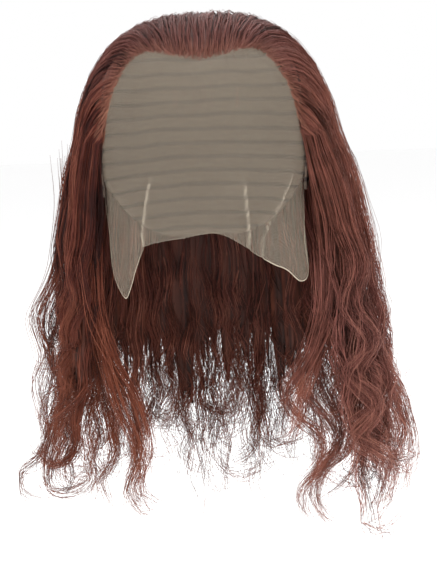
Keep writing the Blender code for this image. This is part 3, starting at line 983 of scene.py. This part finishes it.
    def shade(self, paths: Array) -> Array:
        """Finds the painted light and shade in the hair's tone: painted shade beside the face and painted light towards
        its ends.

        Args:
            paths: The hairs' points.

        Returns:
            What each point adds to its hair's tone.
        """
        x, y, z = paths[..., 0], paths[..., 1], paths[..., 2]
        azimuth = np.degrees(np.arctan2(np.abs(x), -y))
        # Painted shade within about 73 degrees of the face, from 40 to 250 mm down; painted light from 230 mm down to
        # the ends
        shade_beside_face = fade(azimuth, 73, -11) * fade(z, -40 * MM, -25 * MM) * fade(z, -250 * MM, 90 * MM)
        return 0.1 * fade(z, -230 * MM, -100 * MM) - 0.24 * shade_beside_face


@dataclass
class HairlineWisps:
    """The short baby hairs knotted along the front edge of the hair."""

    hairs: int = 960
    length: tuple[float, float] = (7 * MM, 17 * MM)
    before_hair: tuple[float, float] = (-1 * MM, 5.2 * MM)
    lift: tuple[float, float] = (1.5 * MM, 6.5 * MM)
    reach: float = 0.94
    spread: float = 30.0
    points: int = 5
    radius: float = 0.15 * MM
    seed: int = 71
    finish: HairFinish = field(
        default_factory=lambda: HairFinish("hairline_hair", middle=(0.27, 0.105, 0.070), light=(0.48, 0.25, 0.17))
    )

    def build(self, combing: Combing) -> bpy.types.Object:
        """Makes the baby hairs, each leaning back the way the hair is combed.

        Args:
            combing: The lines that the hair follows.

        Returns:
            The baby hairs as one piece.
        """
        rng = np.random.default_rng(self.seed)
        station = rng.uniform(-self.reach, self.reach, self.hairs)
        length = rng.uniform(*self.length, self.hairs)[:, None]
        ahead = np.tile(np.array([0.0, 0.03]), (self.hairs, 1))
        root, next_one = np.moveaxis(combing.line(station, ahead), 1, 0)
        back = next_one - root
        back /= np.linalg.norm(back, axis=-1)[:, None]
        side = np.cross(root, back)
        root = root - back * rng.uniform(*self.before_hair, (self.hairs, 1)) / CROWN_HEIGHT
        turn = np.radians(rng.normal(0, self.spread, (self.hairs, 1)))
        share = np.linspace(0, 1, self.points)[None]
        turn = turn * (1 - 0.55 * share)
        along = share * length / CROWN_HEIGHT
        towards = root[:, None] + back[:, None] * (along * np.cos(turn))[..., None]
        towards = towards + side[:, None] * (along * np.sin(turn))[..., None]
        towards /= np.linalg.norm(towards, axis=-1)[..., None]
        lift = rng.uniform(*self.lift, (self.hairs, 1))
        paths = on_head(towards, LACE_HEIGHT + lift * share**0.8)
        whole = np.ones((self.hairs, self.points))
        tone = np.clip(rng.normal(0.5, 0.16, (self.hairs, 1)), 0, 1) * np.ones(self.points)
        hairs = Hairs(paths, tone, 0.12 * whole, 1.2 * MM * whole, (1 - 0.6 * share) * whole, share * whole * 0.3)
        return StrandMaker(self.radius).piece("hairline_wisps", hairs, self.finish.material(), self.seed)


@dataclass
class LooseLocks:
    """Curls that fall free of the rest at the ends, each a bundle of hairs round one drawn line."""

    name: str
    depth_and_line: tuple[tuple[float, tuple[tuple[float, float], ...]], ...]
    finish: HairFinish
    seed: int
    hairs: int = 30
    points: int = 30
    radius: float = 0.2 * MM
    rise: float = 95.0
    rooted: tuple[float, float] = (85.0, 97.0)
    root_depth: float = -36.0
    stem: tuple[tuple[float, float, float], ...] = ((0, 1, 1), (0.08, 0.62, 0.85), (0.55, 0.24, 0.4))
    sway: float = 5.0
    width: tuple[float, float, float] = (5.5, 2.8, 2.4)

    def drawn(self, rng: np.random.Generator, depth: float, line: tuple[tuple[float, float], ...]) -> Array:
        """Runs one curl's middle line from its root inside the hair to its tip.

        Args:
            rng: The piece's random numbers.
            depth: How deep the curl lies, in millimetres.
            line: The curl's visible line, in millimetres.

        Returns:
            Points along the line, in metres.
        """
        x, z = line[0]
        low, high = self.rooted
        root = math.copysign(min(max(abs(x), low), high), x)
        stem = [(root + (x - root) * part, z + self.rise * up) for part, up, _ in self.stem]
        flat = np.vstack([stem, np.array(line, float)])
        turn = rng.uniform(0, 2 * math.pi)
        sway = self.sway * np.sin(np.linspace(0, 3 * math.pi, len(flat)) + turn)
        sway[: len(stem)] += (self.root_depth - depth) * np.array(self.stem)[:, 2] * (abs(x) < 90)
        return smooth_line(np.column_stack([flat[:, 0], depth + sway, flat[:, 1]]), 160) * MM

    def build(self) -> bpy.types.Object:
        """Makes the bundles as one piece, rooted up inside the hanging hair."""
        rng = np.random.default_rng(self.seed)
        paths, tones = [], []
        for depth, line in self.depth_and_line:
            drawn = self.drawn(rng, depth, line)
            place = np.linspace(0, 1, len(drawn))
            tone = rng.normal(0.48, 0.1)
            for _ in range(self.hairs):
                end = 1 - 0.2 * rng.uniform(0, 1) ** 2
                at = np.linspace(0, end, self.points)
                path = np.stack([np.interp(at, place, drawn[:, k]) for k in range(3)], axis=-1)
                wide = rng.normal(0, 1, 3) * np.interp(at, (0, 0.35, 1), self.width)[:, None] * MM
                slow = rng.uniform(0, 2 * math.pi, 3)
                waver = np.sin(at[:, None] * 11 + slow) * rng.uniform(0.6, 2.2) * at[:, None] * MM
                paths.append(path + wide + waver)
                tones.append(tone + rng.normal(0, 0.16))
        paths = np.clip(np.array(paths), *REACH)
        share = np.linspace(0, 1, self.points)[None] + np.zeros((len(paths), 1))
        tone = np.clip(np.array(tones), 0, 1)[:, None] * np.ones(self.points)
        thick = np.interp(share, (0, 0.1, 0.7, 1), (0.4, 1, 0.85, 0.3))
        hairs = Hairs(paths, tone, 0.15 + 0.5 * share, 2.2 * MM * share, thick, share)
        return StrandMaker(self.radius).piece(self.name, hairs, self.finish.material(), self.seed)


@dataclass(frozen=True)
class LaceFinish:
    """Sheer net of the lace front, with a bright line where its edge is cut."""

    name: str = "sheer_lace"
    colour: tuple[float, float, float] = (0.46, 0.39, 0.30)
    cell: float = 2.0 * MM
    veil: float = 0.04
    thread: float = 0.24
    cut: float = 0.75 * MM

    def material(self) -> bpy.types.Material:
        """Makes the lace from its own map, whose unit is a metre of cloth."""
        made, shader = new_material(self.name, {"Roughness": 0.6})
        tree = made.node_tree
        cloth = add_node(tree, "ShaderNodeUVMap", {}, uv_map="cloth").outputs[0]
        split = add_node(tree, "ShaderNodeSeparateXYZ", {0: cloth}).outputs
        threads = []
        for turn in (-1, 1):
            slant = math_node(tree, "MULTIPLY_ADD", split["X"], turn, split["Y"])
            beat = math_node(tree, "SINE", math_node(tree, "MULTIPLY", slant, 2 * math.pi / self.cell))
            threads.append(clamped(tree, "MULTIPLY_ADD", beat, 1.5, -0.6))
        threads = math_node(tree, "MAXIMUM", *threads)
        line = clamped(tree, "MULTIPLY_ADD", read_attribute(tree, "to_edge"), -1 / self.cut, 1.35)
        crease = math_node(tree, "MULTIPLY", read_attribute(tree, "crease"), 0.55)
        line = math_node(tree, "MAXIMUM", line, crease)
        cloud = add_node(tree, "ShaderNodeTexNoise", {"Vector": cloth, "Scale": 45}).outputs["Fac"]
        veil = math_node(tree, "MULTIPLY_ADD", cloud, 0.05, self.veil - 0.025)
        cover = math_node(tree, "MULTIPLY_ADD", threads, self.thread, veil)
        tree.links.new(clamped(tree, "MULTIPLY_ADD", line, 0.6, cover), shader.inputs["Alpha"])
        light = tuple(min(1.0, value * 1.4) for value in self.colour)
        tree.links.new(mix_colour(tree, line, (*self.colour, 1), (*light, 1)), shader.inputs["Base Color"])
        raise_surface(tree, shader, threads, strength=0.4, distance=0.2 * MM)
        return made


@dataclass
class LacePanel:
    """The sheer panel that carries the front hair, draped down the forehead to its uncut edge."""

    columns: int = 170
    rows: int = 44
    thread: float = 0.16 * MM
    pleat_rise: float = 3.2 * MM
    pleat_width: float = 1.9
    pleat_length: float = 45 * MM
    pleat_start: float = 16 * MM
    faint: float = 0.62 * MM
    flat: tuple[float, float] = (0.0, 0.0)
    area: float = 0.0
    finish: LaceFinish = field(default_factory=LaceFinish)

    def surface(self) -> tuple[Array, Array, Array]:
        """Lays out the lace in rows from its seam down to the uncut edge.

        Returns:
            The points, how sharply each is creased, and how freely each column hangs.
        """
        table = np.array(LACE, float)
        spread = smooth_line(np.column_stack([np.arange(len(table)), table]), 600)
        at = np.linspace(0, len(table) - 1, self.columns + 1)
        columns = [np.interp(at, spread[:, 0], spread[:, k]) for k in range(1, 6)]
        seam_azimuth, seam_polar, azimuth, level, stand = columns
        share = np.linspace(0, 1, self.rows + 1)[:, None]
        hem_polar = 90 + np.degrees(np.arctan((-CROWN_HEIGHT - level * MM) / CROWN_HEIGHT))
        polar = seam_polar + (hem_polar - seam_polar) * share
        bend = np.interp(np.abs(seam_azimuth), (34, 60), (2.5, 1.0))
        turned = seam_azimuth + (azimuth - seam_azimuth) * share**bend
        towards = direction(turned, polar)
        here = on_head(towards, 0)[..., 2]
        free = np.clip((LACE_FREE_FROM - here) / (LACE_FREE_FROM - level * MM), 0, 1)
        lift = np.maximum(stand, 0) * MM * free**1.2
        crease = np.zeros(here.shape)
        for top, foot, starts in LACE_PLEATS:
            middle = top + (foot - top) * np.clip((starts * MM - here) / self.pleat_length, 0, 1)
            off = (turned - middle) / self.pleat_width
            begun = fade(here, starts * MM, -self.pleat_start)
            lift = lift + self.pleat_rise * np.exp(-(off**2) * 2.5) * begun
            crease = np.maximum(crease, np.exp(-(off**2) * 14) * begun)
        return on_head(towards, LACE_HEIGHT + lift), crease, smooth_step(stand / 5)

    def build(self) -> bpy.types.Object:
        """Makes the lace as a thin sheet with a map in metres of cloth, and measures its flat size.

        Returns:
            The sheet.
        """
        points, crease, free = self.surface()
        rows, columns = points.shape[:2]
        across = np.linalg.norm(np.diff(points, axis=1), axis=-1)
        down = np.linalg.norm(np.diff(points, axis=0), axis=-1)
        u, v = running_sum(across), running_sum(down, axis=0)
        u = u - u[:, columns // 2][:, None]
        work = bmesh.new()
        cloth = work.loops.layers.uv.new("cloth")
        to_edge, creased = (work.verts.layers.float.new(word) for word in ("to_edge", "crease"))
        verts = [[work.verts.new(place) for place in row] for row in points]
        index = {vert: (r, c) for r, row in enumerate(verts) for c, vert in enumerate(row)}
        for r in range(rows - 1):
            for c in range(columns - 1):
                face = work.faces.new([verts[r + 1][c], verts[r + 1][c + 1], verts[r][c + 1], verts[r][c]])
                face.smooth = True
                for loop in face.loops:
                    loop[cloth].uv = (u[index[loop.vert]], v[index[loop.vert]])
        for r, c in index.values():
            to_end = min(u[r, c] - u[r, 0], u[r, -1] - u[r, c])
            verts[r][c][to_edge] = float(min(v[-1, c] - v[r, c], to_end) + self.faint * (1 - free[c]))
            verts[r][c][creased] = float(crease[r, c])
        self.area = sum(face.calc_area() for face in work.faces)
        self.flat = (float(u[-1].max() - u[-1].min()), float(v[-1].max()))
        mesh = bpy.data.meshes.new("lace_front_net")
        work.to_mesh(mesh)
        work.free()
        piece = finished("lace_front_net", mesh, self.finish.material())
        wall = piece.modifiers.new("thread", "SOLIDIFY")
        wall.thickness = self.thread
        wall.offset = 0
        return piece

    def dress(self, piece: bpy.types.Object) -> None:
        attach(piece, "root")
        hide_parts("lace_front")


@dataclass(frozen=True)
class NetFinish:
    """Brown stretch net of the cap, with its rows of machine-sewn weft."""

    name: str = "cap_net_finish"
    colour: tuple[float, float, float] = (0.19, 0.125, 0.088)
    weft: tuple[float, float, float] = (0.025, 0.011, 0.009)
    row: float = 11 * MM
    sag: float = 5 * MM
    mesh_scale: float = 620

    def material(self) -> bpy.types.Material:
        """Makes the net from Object coordinates."""
        made, shader = new_material(self.name, {"Roughness": 0.8})
        tree = made.node_tree
        place = object_place(tree)
        level = add_node(tree, "ShaderNodeSeparateXYZ", {0: place}).outputs["Z"]
        uneven = add_node(tree, "ShaderNodeTexNoise", {"Vector": place, "Scale": 25}).outputs["Fac"]
        sagging = math_node(tree, "MULTIPLY_ADD", uneven, self.sag, level)
        rows = math_node(tree, "SINE", math_node(tree, "MULTIPLY", sagging, 2 * math.pi / self.row))
        rows = clamped(tree, "MULTIPLY_ADD", rows, 2.2, -0.9)
        inputs = {"Vector": place, "Scale": self.mesh_scale}
        net = add_node(tree, "ShaderNodeTexVoronoi", inputs, feature="DISTANCE_TO_EDGE").outputs["Distance"]
        thread = clamped(tree, "MULTIPLY_ADD", net, -9.0, 1.0)
        dim = tuple(value * 0.4 for value in self.colour)
        tint = mix_colour(tree, thread, (*dim, 1), (*self.colour, 1))
        tree.links.new(mix_colour(tree, rows, tint, (*self.weft, 1)), shader.inputs["Base Color"])
        raised = math_node(tree, "ADD", thread, math_node(tree, "MULTIPLY", rows, 2.0))
        raise_surface(tree, shader, raised, strength=0.6, distance=0.4 * MM)
        return made


# A darker copy of the hair's colours: painted shade of the hair's depth, where the long hairs hide it
SHADED_UNDER_HAIR_FINISH = HairFinish(
    "under_hair", dark=(0.012, 0.004, 0.003), middle=(0.045, 0.012, 0.008), light=(0.11, 0.036, 0.022), gloss=0.15
)


@dataclass
class UnderHair:
    """The short, dense hair next to the cap that hides it between the long hairs, darker with painted shade."""

    columns: int = 240
    crown_rows: int = 14
    hanging_rows: int = 12
    hairline_points: int = 9
    behind_hairline: float = 1.6
    behind_ears: tuple[tuple[float, float], ...] = ((64, 84), (80, 84), (104, 84), (140, 84), (180, 84))
    crown_depth: float = 0.42
    between: tuple[float, float] = (64.0, 296.0)
    top: float = -70 * MM
    foot: float = -214 * MM
    foot_behind: float = 48 * MM
    ragged: float = 30 * MM
    ripple: float = 10 * MM
    walls: tuple[float, float] = (0.58, 0.2)
    foot_depth: float = 0.36
    finish: HairFinish = SHADED_UNDER_HAIR_FINISH

    def crown(self) -> bpy.types.Object:
        """Makes the part over the head, thin at the hairline."""
        half = np.vstack([np.array(COMBING, float)[:, :2], self.behind_ears])
        half[: self.hairline_points, 1] -= self.behind_hairline
        edge = edge_round(half, self.columns)
        rows, share, _ = rows_to_edge(edge, self.crown_rows, 0.8)
        front = fade(edge[:, 1], 0.15, -0.3)[None]
        thin = fade(share, 1, -0.3) * front + (1 - front)
        depth = (hair_height(rows) - HAIR_BASE) * self.crown_depth * thin
        outer = on_head(rows, HAIR_BASE - 0.6 * MM + depth)
        inner = on_head(rows, np.full(rows.shape[:2], HAIR_BASE - 0.8 * MM))
        return self.shell("crown_under_hair", outer, inner, closed=True)

    def hanging(self) -> bpy.types.Object:
        """Makes the curtain inside the long hair, with a ragged lower edge."""
        rng = np.random.default_rng(5)
        azimuth = np.linspace(*self.between, self.columns)
        rough = rng.uniform(-1, 1, len(azimuth)) * self.ragged
        back = fade(np.abs(azimuth - 180), 75, -40)
        foot = self.foot - self.foot_behind * back + rough + self.ripple * np.sin(np.radians(azimuth * 7))
        share = np.linspace(0, 1, self.hanging_rows + 1)[:, None]
        level = self.top + (foot[None] - self.top) * share
        around = azimuth[None] + 0 * level
        walls = []
        for depth in self.walls:
            thick = self.foot_depth + (depth - self.foot_depth) * (1 - 0.75 * share**2)
            walls.append(round_axis(around, hanging_radius(around, level, thick), level))
        return self.shell("hanging_under_hair", *walls, closed=False)

    def shell(self, name: str, outer: Array, inner: Array, closed: bool) -> bpy.types.Object:
        """Closes two grids of points into one body that carries the attributes of a hair.

        Args:
            name: Name of the piece.
            outer: Points of the outer wall.
            inner: Points of the inner wall.
            closed: Whether the grids run all the way round.

        Returns:
            The body as a piece.
        """
        tone = np.random.default_rng(11).normal(0.35, 0.25, outer.shape[1])
        whole = np.ones(outer.shape[:2])
        fields = {"tone": np.clip(tone, 0, 1) * whole, "along": 0.5 * whole, "warmth": 0.12 * whole}
        mesh = shell_mesh(name, outer, inner, closed, fields)
        return finished(name, mesh, self.finish.material())


@dataclass
class CapNet:
    """The stretch-net cap that the hair is sewn to, with a narrow tape along its edge."""

    columns: int = 144
    rows: int = 30
    tape_width: float = 5 * MM
    tape_height: float = 0.7 * MM
    tape_slope: float = 0.6 * MM
    finish: NetFinish = field(default_factory=NetFinish)

    def build(self) -> bpy.types.Object:
        """Makes the cap's wall over the head down to its edge, thicker at the tape."""
        rows, share, angle = rows_to_edge(edge_round(np.array(CAP_EDGE, float), self.columns), self.rows, 0.9)
        tape = self.tape_height * fade((1 - share) * angle * CROWN_HEIGHT, self.tape_width, -self.tape_slope)
        outer = on_head(rows, CAP_WALL + tape)
        inner = on_head(rows, np.full(rows.shape[:2], 0.05 * MM))
        mesh = shell_mesh("cap_net", outer, inner, closed=True, fields={})
        return finished("cap_net", mesh, self.finish.material())


@dataclass
class Studio:
    """A plain pale floor, a white sky, soft lights, and the camera."""

    distance: float = 1100 * MM
    elevation: float = 8.0
    roll: float = 2.3
    aim: tuple[float, float, float] = (0, 0, -180 * MM)
    aim_pixel: tuple[float, float] = (208, 274.5)
    pixel: float = 0.74 * MM
    floor: float = -0.52
    floor_width: float = 14.0
    paper: tuple[float, float, float] = (0.97, 0.97, 0.97)
    lit_point: tuple[float, float, float] = (0, 0, -0.15)

    def camera(self) -> None:
        """Places the camera at the photograph's angle."""
        e, r = math.radians(self.elevation), math.radians(self.roll)
        forward = Vector((0, math.cos(e), -math.sin(e)))
        level_right = Vector((1, 0, 0))
        level_up = level_right.cross(forward)
        right = math.cos(r) * level_right - math.sin(r) * level_up
        up = math.sin(r) * level_right + math.cos(r) * level_up
        target = Vector(self.aim)
        place = target - forward * self.distance
        across = (FRAME_WIDTH / 2 - self.aim_pixel[0]) * self.pixel
        drop = (FRAME_HEIGHT / 2 - self.aim_pixel[1]) * self.pixel
        back = (place - (target + right * across - up * drop)).normalized()
        side = up.cross(back).normalized()
        data = bpy.data.cameras.new("camera")
        data.sensor_width = 36
        data.lens = self.distance / self.pixel * data.sensor_width / FRAME_HEIGHT
        camera = in_scene("camera", data)
        turn = Matrix((side, back.cross(side), back)).transposed()
        camera.matrix_world = Matrix.Translation(place) @ turn.to_4x4()
        bpy.context.scene.camera = camera

    def stage(self) -> None:
        """Lays a plain pale floor under the wig."""
        work = bmesh.new()
        half = self.floor_width / 2
        corners = ((-half, -half), (half, -half), (half, half), (-half, half))
        work.faces.new([work.verts.new((x, y, self.floor)) for x, y in corners])
        mesh = bpy.data.meshes.new("studio_floor")
        work.to_mesh(mesh)
        work.free()
        paper, _ = new_material("studio_paper", {"Base Color": (*self.paper, 1), "Roughness": 0.9})
        ground = finished("studio_floor", mesh, paper)

    def lights(self) -> None:
        """Hangs the soft lights and sets the world's fill."""
        for name, place, size, power in (
            ("top_light", (0.1, -0.3, 1.3), 1.4, 15),
            ("left_light", (-1.5, -1.1, 0.5), 1.2, 14),
            ("right_light", (1.5, -1.2, 0.6), 1.2, 18),
            ("back_light", (0.0, 1.0, 1.4), 1.5, 14),
        ):
            data = bpy.data.lights.new(name, "AREA")
            data.size = size
            data.energy = power
            lamp = in_scene(name, data)
            lamp.location = place
            lamp.rotation_euler = (Vector(place) - Vector(self.lit_point)).to_track_quat("Z", "Y").to_euler()
        world = bpy.data.worlds.new("studio")
        world.use_nodes = True
        sky = world.node_tree.nodes["Background"].inputs
        sky["Color"].default_value = (1, 1, 1, 1)
        sky["Strength"].default_value = 1.0
        bpy.context.scene.world = world
        bpy.context.scene.view_settings.view_transform = "Standard"


# Ends of the hair in each section, by azimuth: azimuth, and the heights of the shortest and longest hairs (mm)
LEFT_TIPS = ((-58, -235, -362), (-90, -245, -368), (-112, -275, -374))
LEFT_BACK_TIPS = ((-112, -296, -376), (-150, -315, -388), (-180, -324, -392))
RIGHT_BACK_TIPS = ((112, -300, -376), (150, -315, -388), (180, -324, -392))
RIGHT_TIPS = ((58, -302, -372), (112, -300, -376))

# Curls that hang free at the ends: how deep each lies (mm, back positive), then its line from the top (mm, x and z)
LEFT_LOOSE = (
    (-12, ((-116, -181), (-126, -198), (-128, -208), (-124, -226), (-124, -238), (-130, -250), (-131, -263),
           (-128, -276), (-126, -291), (-126, -301), (-133, -306), (-139, -302))),
    (5, ((-121, -195), (-125, -218), (-120, -234), (-120, -250), (-125, -267), (-128, -286), (-124, -306),
         (-129, -311), (-137, -311), (-142, -304))),
    (-5, ((-121, -288), (-131, -311), (-143, -319), (-147, -326), (-145, -337), (-134, -344), (-122, -346))),
    (-15, ((-113, -278), (-121, -301), (-124, -316), (-124, -331), (-115, -338), (-102, -337), (-92, -329),
           (-93, -315), (-102, -307), (-111, -311))),
    (5, ((-104, -280), (-109, -303), (-116, -318), (-115, -332), (-106, -337), (-97, -329), (-98, -320))),
    (-25, ((-84, -262), (-91, -284), (-90, -303), (-94, -320), (-107, -333))),
    (-35, ((-68, -257), (-74, -279), (-72, -298), (-79, -315), (-88, -323), (-91, -336))),
    (-45, ((-72, -247), (-66, -269), (-59, -288), (-56, -303), (-62, -320), (-65, -330), (-61, -342), (-53, -349),
           (-44, -345), (-41, -342))),
    (-40, ((-65, -254), (-58, -278), (-54, -297), (-58, -314), (-64, -326), (-63, -335), (-56, -344), (-45, -345))),
    (-30, ((-77, -284), (-73, -306), (-82, -323), (-80, -339), (-76, -351))),
    (-50, ((-56, -258), (-49, -280), (-47, -297), (-53, -313), (-58, -328), (-51, -335), (-41, -339))),
)
RIGHT_LOOSE = (
    (-30, ((77, -249), (85, -272), (93, -291), (92, -306), (81, -318), (72, -330), (70, -342), (77, -356), (88, -365),
           (97, -366))),
    (-40, ((63, -254), (76, -275), (87, -292), (88, -307), (77, -320), (67, -330), (62, -341), (63, -352), (69, -359))),
    (-48, ((52, -263), (62, -281), (74, -291), (77, -304), (71, -317), (62, -326), (59, -334), (60, -346), (67, -356))),
    (-20, ((94, -256), (102, -278), (104, -297), (97, -316), (84, -327), (77, -340), (76, -353), (83, -369))),
    (-8, ((102, -274), (110, -297), (110, -316), (99, -335), (91, -346), (80, -353))),
    (-5, ((114, -267), (118, -294), (113, -317), (111, -340), (112, -363))),
    (5, ((126, -254), (137, -282), (143, -305), (140, -321), (133, -336), (130, -351), (124, -363))),
    (0, ((137, -269), (146, -296), (150, -320), (146, -339), (140, -352))),
    (-52, ((62, -266), (59, -282), (53, -292), (47, -294))),
)


def sections(left: HairFinish, right: HairFinish, back: HairFinish) -> list[HairSection]:
    """Lists the hair by section.

    Args:
        left: Finish of the left side.
        right: Finish of the right side.
        back: Finish of the back, between the two.

    Returns:
        The four sections.
    """
    even = Curl(gather=0.5, thinning=0.6, cut=0.24)
    leaning = Curl(gather=0.55, thinning=0.7, lean=5.0)
    return [
        HairSection("left_side", "left_side_hair", -112, -59, left, LEFT_TIPS, 20, slim=0.13, along_hairline=0.5),
        HairSection("left_back", "left_back_hair", -180, -112, back, LEFT_BACK_TIPS, 21, curl=even),
        HairSection("right_back", "right_back_hair", 112, 180, back, RIGHT_BACK_TIPS, 22, curl=even),
        HairSection(
            "right_side", "right_side_hair", 59, 112, right, RIGHT_TIPS, 23, along_hairline=0.62, curl=leaning
        ),
    ]


def place(piece: bpy.types.Object, slot: str, *nodes: str) -> None:
    """Fixes a piece to the wig and hides the nodes that it replaces.

    Args:
        piece: The piece.
        slot: Material slot of the record; not used.
        nodes: Solids that it replaces.
    """
    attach(piece, "root")
    if nodes:
        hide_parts(*nodes)
    piece.data.calc_loop_triangles()
    LOG.info("%s: %d triangles", piece.name, len(piece.data.loop_triangles))


def main() -> None:
    """Builds the wig's pieces in order and sets them in the studio."""
    logging.basicConfig(level=logging.INFO, format="%(name)s: %(message)s")
    studio = Studio()
    studio.camera()
    studio.stage()
    studio.lights()
    combing = Combing()
    # The three finishes are copies of one hair colour at different brightness, lightest on the right and darkest on the
    # left: painted light and shade for how light falls on each side
    left = HairFinish("left_hair")
    right = HairFinish(
        "right_hair", dark=(0.026, 0.008, 0.006), middle=(0.215, 0.078, 0.066), light=(0.44, 0.20, 0.150)
    )
    back = HairFinish(
        "back_hair", dark=(0.022, 0.006, 0.0045), middle=(0.145, 0.041, 0.031), light=(0.33, 0.13, 0.090)
    )
    for section in sections(left, right, back):
        for layer in Layer:
            place(section.build(combing, layer), section.node, section.node)
    left_locks = LooseLocks("left_loose_locks", LEFT_LOOSE, left, 91)
    place(left_locks.build(), "left_side_hair", "left_side_hair")
    right_locks = LooseLocks("right_loose_locks", RIGHT_LOOSE, right, 92, hairs=46)
    place(right_locks.build(), "right_side_hair", "right_side_hair")
    place(HairlineWisps().build(combing), "front_hair", "front_hair")
    under = UnderHair()
    place(under.crown(), "crown_hair", "crown_hair", "front_hair")
    place(under.hanging(), "left_back_hair", "left_back_hair", "right_back_hair", "left_side_hair", "right_side_hair")
    lace = LacePanel()
    sheet = lace.build()
    lace.dress(sheet)
    LOG.info("lace: flat %.0f by %.0f mm, area %.4f m2", lace.flat[0] / MM, lace.flat[1] / MM, lace.area)
    place(CapNet().build(), "cap_net", "cap")


if __name__ == "__main__":
    main()
